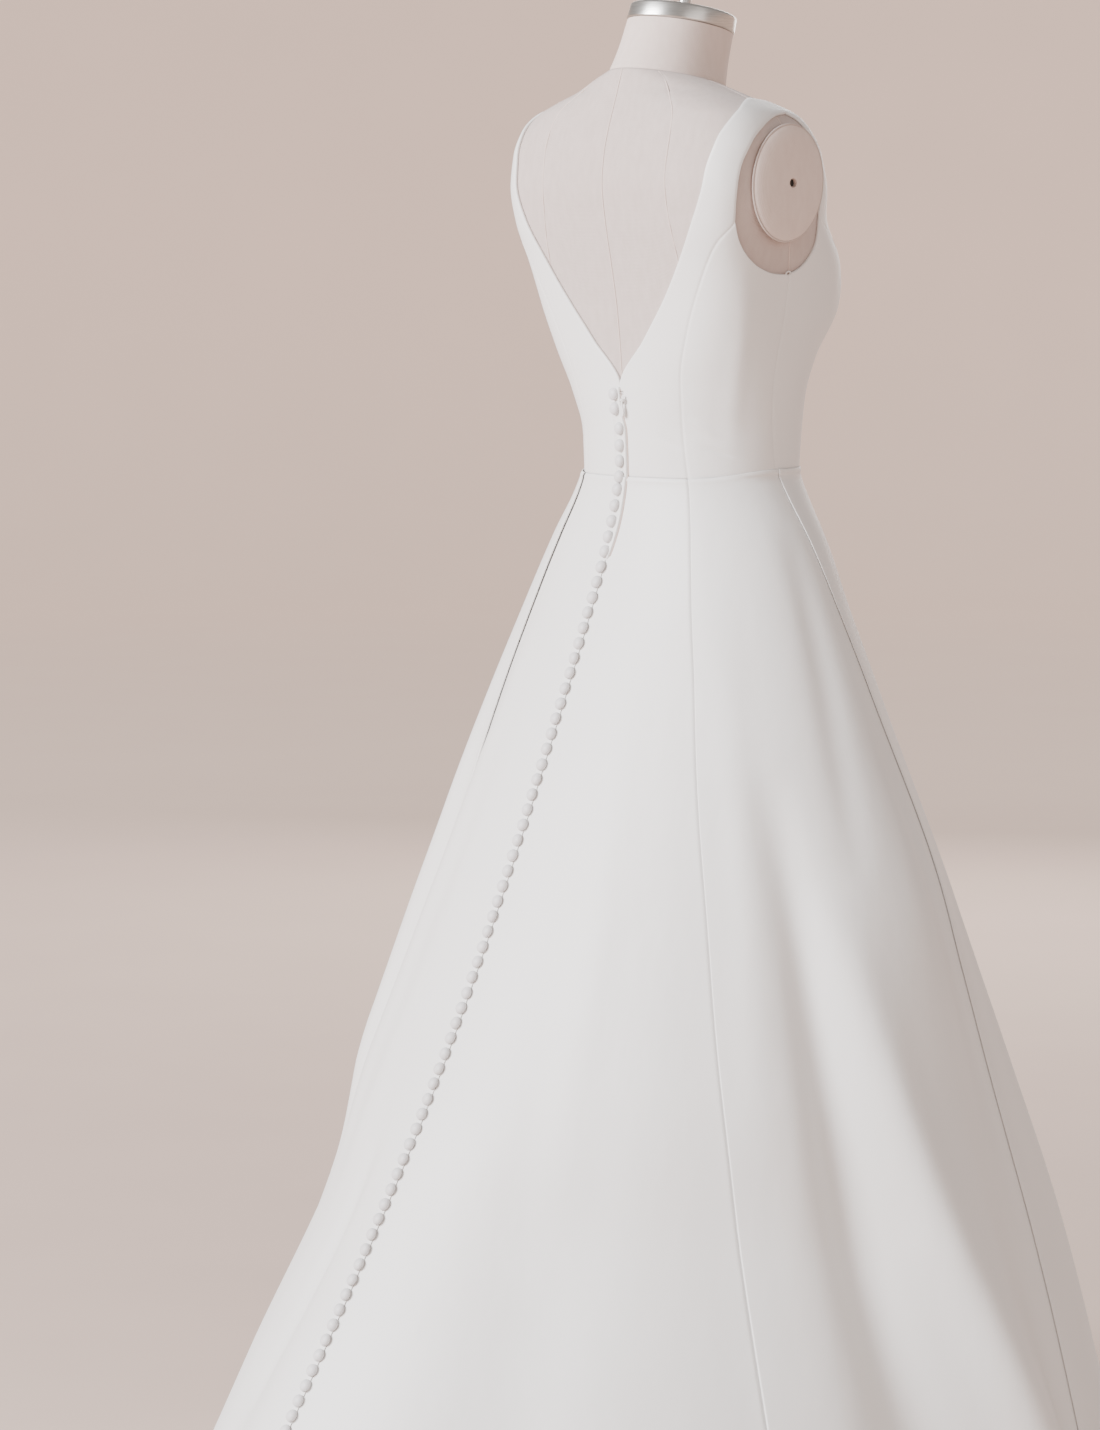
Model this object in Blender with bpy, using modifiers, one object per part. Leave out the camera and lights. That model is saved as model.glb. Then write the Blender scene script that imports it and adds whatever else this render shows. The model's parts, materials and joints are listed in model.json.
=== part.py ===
"""Sleeveless A-line wedding gown, worn by a limbless dress form on a stand.

Metres, +Z up. The origin is on the floor under the middle of the stand's foot.
The gown faces -Y, its train lies toward +Y, and the wearer's right is at -X.
Angles run from the centre back (0) round the side (90) to the centre front (180).
"""
import math

import bpy
import bmesh
import numpy as np
from mathutils import Matrix, Vector

SEAM = 0.0003            # gap between pieces that meet
SEAM_ANGLE = 0.10        # degrees that hold each bodice piece back from its seam
CENTRE_GAP = 0.0010      # the skirt's two backs at their outer faces; their walls lean together
EASE = 0.0020            # air between the form and the bodice
BODICE_WALL = 0.0015
SKIRT_WALL = 0.0012
WAIST_Z = 1.040          # the waist seam at the centre back
WAIST_RISE = 0.009       # it climbs this much between two angles, and stays up round the front
RISE_START = 38.0
RISE_END = 92.0
RISE_FADE = 0.060        # rows of the grids follow the seam within this height of it
V_POINT_Z = 1.125        # lowest point of the open back
NECK_Y = 0.031           # the neck stands this far behind the waist's middle
SHARP = math.radians(40)    # edges that bend more than this are shaded sharp
MERGE = 0.0001

# The bust, as a soft bump on the chest
FORM_BUST = 0.0180       # how far the form's stands out
GOWN_BUST = 0.0210       # and the bodice's, which spans it with a little air
BUST_X = 0.082
BUST_Z = 1.222
BUST_WIDE = 0.045
BUST_TALL = 0.052

# The skirt's knife pleats
PLEAT_FOLD = (0.0020, 0.0055, 0.0025)   # radius of the folded edge at the waist, low down, on the floor
PLEAT_LOW = 0.160        # height of the middle one
PLEAT_UNDER = 0.012      # cloth turned under behind the folded edge
PLEAT_GAP = 0.0010       # air under the turned cloth
PLEAT_RAISE = 0.0040     # the folded edge stands this far out of the skirt
RAISE_WIDTH = 0.030
SINK_WIDTH = 0.045

# The hem
TRAIN = 0.360            # how far the train runs out over the floor at the centre back
FRONT_HEM = 0.012        # the front hem clears the floor by a little more than this
FLOOR_BEND = 0.045       # how softly the skirt turns from standing to lying
FLOOR_REST = 0.0016      # height of the train's outer face

# Covered buttons, on tapes down the centre back; distances run from just below the V point
BUTTON_RADIUS = 0.00575
BUTTON_HEIGHT = 0.0042
BUTTON_PITCH = 0.0150
BUTTON_SIDES = 6
DOME_RING = (0.70, 0.82)    # shares of the height and radius where a button's side turns into its top
BUTTON_SINK = 0.6        # a button's foot stands this share up the tape, inside it
TAPE_THICK = 0.0010
TAPE_HALF = 0.0025
TAPE_BUTTONS = 36        # buttons on each of the two upper tapes of the skirt
TAPE_HEM = 0.012         # the lowest tape ends this far before the hem
LAST_BUTTON = 0.008      # and the last button at least this far before the tape's end
TURN_START = 0.001       # the placket starts this far below the V point
FIRST_BUTTONS = ((0.0062, 0.0062), (0.0203, 0.0062), (0.0384, 0.0), (0.0544, 0.0), (0.0694, 0.0),
                 (0.0843, 0.0), (0.0975, 0.0))
PLACKET_END = 0.1650
PLACKET_LEFT = ((0.0, 0.0240, 0.0330), (0.0118, 0.0118, 0.0060))
PLACKET_RIGHT = ((0.0, 0.0240, 0.0415, 0.0840, 0.1240, 0.1600),
                 (-0.0012, -0.0035, -0.0080, -0.0095, -0.0105, -0.0075))

# The hidden zip's slider and its pull tab; sizes of blocks are across, out and up
SLIDER_ANGLE = 2.9       # degrees from the centre back, beside the placket
SLIDER_Z = 1.1125
SLIDER_SIZE = (0.0050, 0.0012, 0.0070)
CHEEK_SIZE = (0.0008, 0.0034, 0.0026)
CHEEK_SINK = 0.0004
HINGE_OUT = 0.0033       # the tab's pin stands this far off the cloth
PIN_RADIUS = 0.0006
EYE_RADIUS = 0.0014
EYE_HOLE = 0.0009
EYE_WIDTH = 0.0028
TAB_THICK = 0.0010
TAB_OUTLINE = ((0.0009, 0.0008), (0.0010, 0.0034), (0.0016, 0.0058), (0.0024, 0.0090), (0.0027, 0.0118),
               (0.0024, 0.0138), (0.0014, 0.0152))     # half width, how far down

# The form's neck and its steel cap
NECK_TILT = 0.19
NECK_SIDES = 28
NECK = (
    (0.0310, 1.4108, 0.0552),
    (0.0288, 1.4170, 0.0538),
    (0.0225, 1.4360, 0.0513),
    (0.0150, 1.4600, 0.0498),
)                        # y, z, radius
CAP_HEIGHT = 0.0155
CAP_RADIUS = (0.0506, 0.0490)
CAP_LEAN = 0.0045        # the cap's top stands this far forward of its foot
CAP_EDGE = 0.0008
KNOB_STEPS = 16
KNOB_PROFILE = ((0.0, 0.0400), (0.0060, 0.0388), (0.0104, 0.0350), (0.0122, 0.0290), (0.0108, 0.0228),
                (0.0066, 0.0178), (0.0052, 0.0140), (0.0060, 0.0060), (0.0100, 0.0026), (0.0135, 0.0016),
                (0.0135, 0.0), (0.0, 0.0))     # radius, height, from the tip down

# The plates that close the form's shoulders
ARM_PLANE_X = 0.164      # the shoulders are cut flat here
PLATE_Y = 0.0285
PLATE_Z = 1.3137
PLATE_HALF_Y = 0.0420
PLATE_HALF_Z = 0.0528
PLATE_TURN = math.radians(7.5)
PLATE_SIDES = 20
PLATE_HOLE = 0.0030
PLATE_HOLE_DEPTH = 0.0050
PLATE = ((0.0, 0.985), (0.0006, 1.0), (0.0030, 1.0), (0.0044, 0.97), (0.0068, 0.84),
         (0.0090, 0.54), (0.0100, 0.16))       # how far out, share of the full size

# The stand
BASE_RADIUS = 0.180
BASE_THICK = 0.012
BASE_EDGE = 0.006
BASE_FALL = 0.001        # the foot's top falls this much toward its rim
POLE_RADIUS = 0.016
POLE_SIDES = 16
BASE_STEPS = 32

# How finely the forms are divided
TORSO_SIDES = 32
TORSO_EXTRA_Z = (1.020, 1.060, 1.100, 1.140, 1.180, 1.220, 1.260, 1.298)
BACK_COLUMNS = 4
BACK_SIDE_COLUMNS = 5
FRONT_SIDE_COLUMNS = 7
FRONT_COLUMNS = 5
SKIRT_ROWS = (1.0380, 1.0200, 0.9850, 0.9400, 0.8800, 0.8000, 0.7000, 0.5800, 0.4400,
              0.2900, 0.1650, 0.0800)
HEM_SHARES = (0.09, 0.16, 0.23, 0.30, 0.40, 0.56, 0.78, 1.0)
FOLD_STEPS = 3
BACK_STEPS = {-1: (0.0, 0.12, 0.26, 0.42, 0.58, 0.74, 0.88, 1.0),
              1: (0.0, 0.16, 0.34, 0.52, 0.68, 0.82, 0.92, 1.0)}     # by side
SIDE_STEPS = {-1: (0.0, 0.10, 0.24, 0.38, 0.52, 0.65, 0.77, 0.89, 1.0),
              1: (0.0, 0.05, 0.11, 0.20, 0.33, 0.50, 0.67, 0.84, 1.0)}
FRONT_STEPS = (0.0, 0.10, 0.26, 0.44, 0.62, 0.80, 1.0)
FIXED_EDGES = {"plain": 0.0, "middle": 180.0}   # a skirt panel's edge at the centre back or front
ON_MIDDLE = 0.00001      # nearer the middle plane than this counts as on it

# The form's body, a row for each height
TORSO_COLUMNS = ("z", "half", "back", "front", "centre", "square_back", "square_front", "tilt")
TORSO = (
    (0.8000, 0.1580, 0.1120, 0.0940, 0.000, 2.2, 2.2, 0.00),
    (0.8600, 0.1620, 0.1140, 0.0960, 0.000, 2.2, 2.2, 0.00),
    (0.9400, 0.1470, 0.1030, 0.0920, 0.000, 2.2, 2.1, 0.00),
    (1.0000, 0.1240, 0.0880, 0.0860, 0.000, 2.1, 2.0, 0.00),
    (1.0400, 0.1165, 0.0830, 0.0830, 0.000, 2.0, 2.0, 0.00),
    (1.0800, 0.1190, 0.0835, 0.0840, 0.000, 2.0, 2.0, 0.00),
    (1.1200, 0.1270, 0.0855, 0.0890, 0.003, 2.3, 1.9, 0.00),
    (1.1600, 0.1370, 0.0885, 0.0920, 0.006, 3.0, 2.1, 0.00),
    (1.2000, 0.1460, 0.0930, 0.0940, 0.010, 3.7, 2.6, 0.00),
    (1.2400, 0.1540, 0.1000, 0.0920, 0.015, 4.1, 2.6, 0.00),
    (1.2800, 0.1620, 0.1075, 0.0840, 0.020, 4.8, 2.2, 0.00),
    (1.3150, 0.1680, 0.1115, 0.0700, 0.024, 4.4, 2.5, 0.00),
    (1.3400, 0.1680, 0.1090, 0.0560, 0.026, 4.1, 2.7, 0.02),
    (1.3600, 0.1620, 0.1040, 0.0450, 0.028, 3.8, 2.8, 0.05),
    (1.3740, 0.1520, 0.0990, 0.0380, 0.029, 3.3, 2.8, 0.09),
    (1.3850, 0.1320, 0.0950, 0.0330, 0.030, 2.6, 2.6, 0.12),
    (1.3950, 0.1050, 0.0915, 0.0290, 0.031, 2.1, 2.3, 0.15),
    (1.4040, 0.0780, 0.0885, 0.0265, 0.031, 2.1, 2.1, 0.18),
    (1.4105, 0.0555, 0.0865, 0.0245, 0.031, 2.0, 2.0, 0.19),
)

# The skirt's outline, a row for each height
SKIRT_COLUMNS = ("z", "half", "back", "front", "square_back", "square_front")
SKIRT = (
    (0.000, 0.528, 0.589, 0.432, 1.50, 1.67),
    (0.050, 0.510, 0.559, 0.415, 1.50, 1.67),
    (0.200, 0.467, 0.471, 0.383, 1.50, 1.67),
    (0.350, 0.420, 0.383, 0.340, 1.46, 1.67),
    (0.500, 0.370, 0.302, 0.272, 1.67, 1.67),
    (0.650, 0.323, 0.233, 0.190, 1.71, 1.71),
    (0.800, 0.251, 0.170, 0.148, 1.90, 1.70),
    (0.900, 0.202, 0.130, 0.120, 2.00, 1.75),
    (0.980, 0.160, 0.101, 0.097, 2.05, 1.95),
    (1.020, 0.133, 0.0905, 0.089, 2.00, 2.00),
    (1.040, 0.1205, 0.0870, 0.0870, 2.00, 2.00),
)


def hermite(table, columns, name, at):
    """Smooth value of one named column at height AT, never past its neighbours' values."""
    xs = np.array([row[0] for row in table])
    ys = np.array([row[columns.index(name)] for row in table])
    at = min(max(at, xs[0]), xs[-1])
    i = min(int(np.searchsorted(xs, at, side="right")) - 1, len(xs) - 2)
    step = xs[i + 1] - xs[i]
    rise = (ys[1:] - ys[:-1]) / (xs[1:] - xs[:-1])

    def slope(k):
        if k == 0 or k == len(xs) - 1:
            return rise[min(k, len(rise) - 1)]
        if rise[k - 1] * rise[k] <= 0:
            return 0.0
        return 2 * rise[k - 1] * rise[k] / (rise[k - 1] + rise[k])

    t = (at - xs[i]) / step
    return ((1 + 2 * t) * (1 - t) ** 2 * ys[i] + t * (1 - t) ** 2 * step * slope(i)
            + t * t * (3 - 2 * t) * ys[i + 1] + t * t * (t - 1) * step * slope(i + 1))


def torso_value(name, z):
    return hermite(TORSO, TORSO_COLUMNS, name, z)


def torso_point(angle, z, bust=FORM_BUST):
    """Point of the form's body at an angle (degrees) and a height."""
    s, c = math.sin(math.radians(angle)), math.cos(math.radians(angle))
    square = torso_value("square_back" if c > 0 else "square_front", z)
    centre = torso_value("centre", z)
    depth = torso_value("back", z) - centre if c > 0 else centre + torso_value("front", z)
    reach = (abs(s) ** square + abs(c) ** square) ** (-1 / square)
    x = -torso_value("half", z) * reach * s
    y = centre + depth * reach * c
    if c < 0:
        side = (abs(x) - BUST_X) / BUST_WIDE
        up = (z - BUST_Z) / BUST_TALL
        y -= bust * math.exp(-side ** 2 - up ** 2) * min(1.0, -2 * c)
    x = math.copysign(min(abs(x), ARM_PLANE_X), x)
    return np.array((x, y, z + (y - NECK_Y) * torso_value("tilt", z)))


def outward(point_at, angle, z):
    """Unit normal of a surface given by point_at(angle, z)."""
    across = point_at(angle + 0.5, z) - point_at(angle - 0.5, z)
    up = point_at(angle, z + 0.001) - point_at(angle, z - 0.001)
    normal = np.cross(across, up)
    return normal / np.linalg.norm(normal)


def gown_base(angle, z):
    return torso_point(angle, z, GOWN_BUST)


def bodice_point(angle, z, lift=EASE + BODICE_WALL):
    """Point of the bodice's outer face, or nearer the form with a smaller lift."""
    return gown_base(angle, z) + lift * outward(gown_base, angle, z)


def mirrored(grid):
    """The same grid on the wearer's other side, still facing outward."""
    flipped = grid[:, ::-1].copy()
    flipped[:, :, 0] *= -1
    return flipped


# Edges of the bodice's pieces on the wearer's right, from the waist up
EDGE_COLUMNS = ("inner_angle", "inner_z", "outer_angle", "outer_z")
BACK_EDGES = (
    (0.0, 1.0400, 38.4, 1.0400),
    (0.0, 1.0825, 34.8, 1.0900),
    (0.0, 1.1250, 33.2, 1.1400),
    (15.0, 1.1690, 34.6, 1.1660),
    (26.0, 1.2080, 36.8, 1.1920),
    (32.8, 1.2420, 41.0, 1.2260),
    (38.0, 1.2780, 46.6, 1.2600),
    (41.5, 1.3100, 53.0, 1.2790),
    (43.0, 1.3300, 53.4, 1.3000),
    (46.5, 1.3520, 55.5, 1.3280),
    (54.0, 1.3690, 61.5, 1.3500),
    (67.0, 1.3815, 74.0, 1.3660),
    (83.0, 1.3880, 89.0, 1.3745),
    (100.0, 1.3885, 103.0, 1.3780),
)
FRONT_EDGES = (
    (180.0, 1.0400, 147.0, 1.0400),
    (180.0, 1.0850, 147.0, 1.0850),
    (180.0, 1.1300, 147.0, 1.1300),
    (180.0, 1.1750, 148.0, 1.1720),
    (180.0, 1.2150, 147.0, 1.2120),
    (180.0, 1.2500, 139.0, 1.2420),
    (180.0, 1.2810, 126.0, 1.2660),
    (166.0, 1.2850, 113.0, 1.2840),
    (154.0, 1.2970, 115.0, 1.3000),
    (146.0, 1.3180, 117.0, 1.3200),
    (139.0, 1.3430, 118.0, 1.3430),
    (130.0, 1.3660, 116.0, 1.3620),
    (117.0, 1.3810, 111.5, 1.3730),
    (100.6, 1.3885, 103.6, 1.3780),
)
PRINCESS_ROWS = 8        # rows of either table below the armhole


# Angle and height along the side seam and the armhole
SIDE_SEAM = ((90.0, 1.0400), (86.8, 1.0760), (84.6, 1.1060), (83.2, 1.1400), (84.0, 1.1650),
             (86.0, 1.1870), (87.6, 1.2090), (88.6, 1.2300))
ARMHOLE_BACK = ((53.0, 1.2790), (54.6, 1.2640), (58.6, 1.2490), (66.0, 1.2370), (77.0, 1.2310),
                (88.6, 1.2300))
ARMHOLE_FRONT = ((88.6, 1.2300), (96.5, 1.2370), (103.0, 1.2480), (108.0, 1.2610), (111.0, 1.2730),
                 (113.0, 1.2840))

# Where the skirt's pleats and side edges run
PLEAT_COLUMNS = ("z", "back_pleat", "side_pleat")
PLEATS = (
    (0.000, 64.0, 103.0),
    (0.200, 59.0, 102.5),
    (0.400, 52.3, 102.3),
    (0.600, 44.8, 103.0),
    (0.720, 41.0, 107.0),
    (0.850, 38.4, 102.0),
    (0.970, 36.0, 95.5),
    (1.040, 38.4, 92.0),
)

# The skirt's large soft folds: a positive depth stands out, a negative one is a trough
FOLD_COLUMNS = ("side", "top_angle", "hem_angle", "start_z", "full_z", "depth", "width")
FOLDS = (
    (-1, 57.0, 84.0, 0.80, 0.0, -0.034, 6.0),
    (-1, 71.0, 96.0, 0.74, 0.0, 0.036, 7.0),
    (-1, 92.0, 101.0, 0.66, 0.0, -0.020, 5.0),
    (-1, 17.0, 30.0, 0.84, 0.0, -0.013, 9.0),
    (-1, 130.0, 134.0, 0.78, 0.0, -0.022, 9.0),
    (-1, 156.0, 158.0, 0.72, 0.0, 0.014, 9.0),
    (1, 11.0, 17.0, 0.62, 0.0, -0.012, 6.0),
    (1, 37.0, 55.0, 0.96, 0.50, -0.036, 8.0),
    (1, 58.0, 66.0, 0.70, 0.45, 0.012, 7.0),
    (1, 78.0, 88.0, 0.74, 0.0, -0.018, 7.0),
    (1, 124.0, 128.0, 0.74, 0.0, -0.020, 8.0),
    (1, 160.0, 161.0, 0.66, 0.0, -0.012, 8.0),
)


def risen(angle, z):
    """Height Z of a row near the waist, moved up with the seam."""
    part = min(max((angle - RISE_START) / (RISE_END - RISE_START), 0.0), 1.0)
    near = max(0.0, 1.0 - abs(z - WAIST_Z) / RISE_FADE)
    return z + WAIST_RISE * part * part * (3 - 2 * part) * near


def skirt_value(name, z):
    return hermite(SKIRT, SKIRT_COLUMNS, name, z)


def pleat_angle(name, z):
    return hermite(PLEATS, PLEAT_COLUMNS, name, z)


def fold_depth(side, angle, z):
    """How far the large folds move the cloth outward, nothing at the centre back and front."""
    total = 0.0
    calm = (1 - math.exp(-(angle / 5) ** 2)) * (1 - math.exp(-((180 - angle) / 5) ** 2))
    for fold in FOLDS:
        row = dict(zip(FOLD_COLUMNS, fold))
        if row["side"] != side or z >= row["start_z"]:
            continue
        down = (row["start_z"] - z) / row["start_z"]
        grown = min(1.0, (row["start_z"] - z) / (row["start_z"] - row["full_z"])) ** 1.3
        middle = row["top_angle"] + (row["hem_angle"] - row["top_angle"]) * down
        total += row["depth"] * grown * math.exp(-((angle - middle) / row["width"]) ** 2)
    return total * calm


def train_length(angle):
    """Cloth that lies on the floor at this angle; the front hem stops short of it."""
    return (TRAIN + FRONT_HEM) * max(0.0, math.cos(math.radians(0.9 * angle))) ** 1.5 - FRONT_HEM


def skirt_point(side, angle, level):
    """Point of the skirt. Below the floor, LEVEL counts cloth that lies on the floor instead."""
    z = 0.5 * (level + math.hypot(level, FLOOR_BEND))
    s, c = math.sin(math.radians(angle)), math.cos(math.radians(angle))
    square = skirt_value("square_back" if c > 0 else "square_front", z)
    reach = (abs(s) ** square + abs(c) ** square) ** (-1 / square)
    flat = np.array((skirt_value("half", z) * reach * s,
                     skirt_value("back" if c > 0 else "front", z) * reach * c))
    radius = np.linalg.norm(flat)
    flat *= (radius + (z - level) + fold_depth(side, angle, z)) / radius
    return np.array((side * flat[0], flat[1], z + FLOOR_REST))


def skirt_level(row, angle):
    """Level of one row of the skirt's grid."""
    if row < len(SKIRT_ROWS):
        return risen(angle, SKIRT_ROWS[row])
    low = SKIRT_ROWS[-1]
    share = HEM_SHARES[row - len(SKIRT_ROWS)]
    return low - (low + train_length(angle)) * share


def skirt_frame(side, angle, level):
    """Point, outward normal and metres of cloth per degree at a place on the skirt."""
    point = skirt_point(side, angle, level)
    across = skirt_point(side, angle + 0.25, level) - skirt_point(side, angle - 0.25, level)
    down = skirt_point(side, angle, level - 0.002) - skirt_point(side, angle, level + 0.002)
    normal = np.cross(across, down) * side
    return point, normal / np.linalg.norm(normal), np.linalg.norm(across) / 0.5


def pleat_sizes(z):
    """Radius of a pleat's folded edge, how far it stands out, and how deep the cloth under it lies."""
    waist, hem, floor = PLEAT_FOLD
    radius = float(np.interp(z, (0.0, PLEAT_LOW, WAIST_Z), (floor, hem, waist)))
    step = 2 * radius + PLEAT_GAP
    sink = (step - PLEAT_RAISE) * min(1.0, z / PLEAT_LOW)
    return radius, step - sink, sink


def edge_angle(edge, row):
    """Angle of a panel's edge on one row of the grid."""
    if edge in FIXED_EDGES:
        return FIXED_EDGES[edge]
    angle = 100.0
    for _ in range(3):
        angle = pleat_angle(edge, max(skirt_level(row, angle), 0.0))
    return angle


def panel_lift(low_gap, high_gap, top, sink):
    """How far a panel stands out near its folded edge, or sinks near the pleat over it."""
    lift = 0.0
    if low_gap is not None:
        lift += top * math.exp(-(low_gap / RAISE_WIDTH) ** 2)
    if high_gap is not None:
        lift -= sink * math.exp(-(high_gap / SINK_WIDTH) ** 2)
    return lift


def skirt_row(side, row, low_edge, high_edge, steps):
    """One row of a skirt panel, from its back edge to its front edge.

    An edge is "plain" at the centre back, "middle" at the centre front, or a pleat's name. At its
    back edge a panel folds under; at its front edge it runs on beneath the next panel's fold.
    """
    low = edge_angle(low_edge, row)
    high = edge_angle(high_edge, row)
    points = []

    def add(angle, lift):
        point, normal, _ = skirt_frame(side, angle, skirt_level(row, angle))
        points.append(point + lift * normal)

    low_point, _, low_scale = skirt_frame(side, low, skirt_level(row, low))
    high_point, _, high_scale = skirt_frame(side, high, skirt_level(row, high))
    first = low
    if low_edge == "plain":
        first = CENTRE_GAP / 2 / low_scale
    else:
        radius, top, _ = pleat_sizes(low_point[2])
        add(low + (radius + PLEAT_UNDER) / low_scale, top - 2 * radius)
        for turn in range(FOLD_STEPS):
            bend = math.pi * turn / FOLD_STEPS
            add(low + radius * (1 - math.sin(bend)) / low_scale, top - radius * (1 + math.cos(bend)))
        first = low + radius / low_scale
    folded_under = high_edge not in FIXED_EDGES
    _, top, _ = pleat_sizes(low_point[2])
    radius, _, sink = pleat_sizes(high_point[2])
    for step in steps:
        angle = first + (high - first) * step
        low_gap = (angle - low) * low_scale if low_edge not in FIXED_EDGES else None
        high_gap = (high - angle) * high_scale if folded_under else None
        add(angle, panel_lift(low_gap, high_gap, top, sink))
    if folded_under:
        add(high + radius / high_scale, -sink)
        add(high + (radius + PLEAT_UNDER) / high_scale, -sink)
    return points


def skirt_grid(side, low_edge, high_edge, steps):
    """Outer face of a skirt panel as rows of points."""
    rows = range(len(SKIRT_ROWS) + len(HEM_SHARES))
    grid = np.array([skirt_row(side, row, low_edge, high_edge, steps) for row in rows])
    return grid if side < 0 else grid[:, ::-1]


def curve_at(table, part):
    """Point of a short table of (angle, z) at a share of its length."""
    rows = np.array(table)
    along = part * (len(rows) - 1)
    return np.array([np.interp(along, range(len(rows)), rows[:, k]) for k in (0, 1)])


def with_halfway(table):
    """The rows of a table, with one more halfway between each two."""
    rows = [tuple(table[0])]
    for low, high in zip(table[:-1], table[1:]):
        rows.append(tuple((a + b) / 2 for a, b in zip(low, high)))
        rows.append(tuple(high))
    return rows


def strip_grid(edges, columns, seam_sign, lift):
    """One face of a bodice piece that runs from the waist up into its strap."""
    grid = []
    for inner_angle, inner_z, outer_angle, outer_z in with_halfway(edges):
        inner = np.array((inner_angle, inner_z))
        outer = np.array((outer_angle - seam_sign * SEAM_ANGLE, outer_z))
        if inner_angle == 0.0:
            inner[0] = SEAM_ANGLE
        row = []
        for step in range(columns + 1):
            angle, z = inner + (outer - inner) * step / columns
            row.append(bodice_point(angle, risen(angle, max(z, WAIST_Z + SEAM)), lift))
        grid.append(row)
    return np.array(grid)


def side_grid(low_curve, high_curve, armhole, columns, lift):
    """One face of a side piece: four edges filled in between, with the armhole on top."""
    grid = []
    low_curve, high_curve = with_halfway(low_curve[:PRINCESS_ROWS]), with_halfway(high_curve[:PRINCESS_ROWS])
    rows = len(low_curve) - 1
    low_end, high_end = np.array(low_curve[rows]), np.array(high_curve[rows])
    low_start, high_start = np.array(low_curve[0]), np.array(high_curve[0])
    for i in range(rows + 1):
        up = i / rows
        low, high = np.array(low_curve[i]), np.array(high_curve[i])
        row = []
        for step in range(columns + 1):
            part = step / columns
            top = curve_at(armhole, part)
            bottom = low_start + (high_start - low_start) * part
            corner = ((1 - part) * ((1 - up) * low_start + up * low_end)
                      + part * ((1 - up) * high_start + up * high_end))
            angle, z = (1 - part) * low + part * high + (1 - up) * bottom + up * top - corner
            shift = SEAM_ANGLE * (1 - 2 * part)
            row.append(bodice_point(angle + shift, risen(angle, max(z, WAIST_Z + SEAM)), lift))
        grid.append(row)
    return np.array(grid)


def new_material(name, colour, roughness, metallic=0.0):
    made = bpy.data.materials.new(name)
    made.use_nodes = True
    shader = made.node_tree.nodes["Principled BSDF"]
    shader.inputs["Base Color"].default_value = (*colour, 1.0)
    shader.inputs["Roughness"].default_value = roughness
    shader.inputs["Metallic"].default_value = metallic
    return made


def add_object(name, mesh, material, collection):
    made = bpy.data.objects.new(name, mesh)
    made.data.materials.append(material)
    collection.objects.link(made)
    return made


def mesh_from(name, points, faces):
    mesh = bpy.data.meshes.new(name)
    mesh.from_pydata([tuple(point) for point in points], [], faces)
    mesh.update()
    return mesh


def face_outward(mesh):
    shape = bmesh.new()
    shape.from_mesh(mesh)
    bmesh.ops.recalc_face_normals(shape, faces=shape.faces)
    shape.to_mesh(mesh)
    shape.free()


def add_cloth(name, grid, rows_go_down, wall, material, collection):
    """A cloth piece: a grid of points on its outer face, thickened inward."""
    rows, columns = grid.shape[:2]
    faces = []
    for i in range(rows - 1):
        for j in range(columns - 1):
            corner = (i * columns + j, i * columns + j + 1, (i + 1) * columns + j + 1, (i + 1) * columns + j)
            faces.append(corner[::-1] if rows_go_down else corner)
    piece = add_object(name, mesh_from(name, grid.reshape(-1, 3), faces), material, collection)
    piece.data.shade_smooth()
    shell = piece.modifiers.new("wall", "SOLIDIFY")
    shell.thickness = wall
    shell.offset = -1.0
    return piece


def add_shell(name, outer, inner, material, collection):
    """A cloth piece between two grids. It is left open along the middle plane, to be mirrored."""
    rows, columns = outer.shape[:2]
    count = rows * columns
    points = np.concatenate((outer.reshape(-1, 3), inner.reshape(-1, 3)))
    faces = []
    for i in range(rows - 1):
        for j in range(columns - 1):
            corner = (i * columns + j, i * columns + j + 1, (i + 1) * columns + j + 1, (i + 1) * columns + j)
            faces.append(corner)
            faces.append(tuple(count + k for k in corner[::-1]))
    border = list(range(columns)) + [i * columns + columns - 1 for i in range(1, rows)]
    border += [(rows - 1) * columns + j for j in range(columns - 2, -1, -1)]
    border += [i * columns for i in range(rows - 2, 0, -1)]
    for p, q in zip(border, border[1:] + border[:1]):
        if abs(points[p][0]) > ON_MIDDLE or abs(points[q][0]) > ON_MIDDLE:
            faces.append((q, p, p + count, q + count))
    piece = add_object(name, mesh_from(name, points, faces), material, collection)
    piece.data.shade_smooth()
    piece.data.set_sharp_from_angle(angle=SHARP)
    return piece


def loft(name, rings, material, collection):
    """A closed body through rings of points, each ring running anticlockwise seen from above."""
    count = len(rings[0])
    points = np.concatenate(rings)
    faces = [tuple(range(count))[::-1]]
    for i in range(len(rings) - 1):
        for j in range(count):
            k = (j + 1) % count
            faces.append((i * count + j, i * count + k, (i + 1) * count + k, (i + 1) * count + j))
    faces.append(tuple(range((len(rings) - 1) * count, len(rings) * count)))
    made = add_object(name, mesh_from(name, points, faces), material, collection)
    face_outward(made.data)
    made.data.shade_smooth()
    made.data.set_sharp_from_angle(angle=SHARP)
    return made


def add_boolean(target, operand, operation):
    """Cut or join with a hidden object, and keep that object among the cutters."""
    operand.hide_render = True
    operand.display_type = "WIRE"
    change = target.modifiers.new(operation.lower(), "BOOLEAN")
    change.operation = operation
    change.object = operand
    change.solver = "EXACT"


def add_torso(material, collection):
    rings = []
    heights = sorted({row[0] for row in TORSO} | set(TORSO_EXTRA_Z))
    for z in heights:
        angles = [360.0 * k / TORSO_SIDES for k in range(TORSO_SIDES)]
        rings.append(np.array([torso_point(angle, z) for angle in angles]))
    return loft("form_torso", rings, material, collection)


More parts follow.
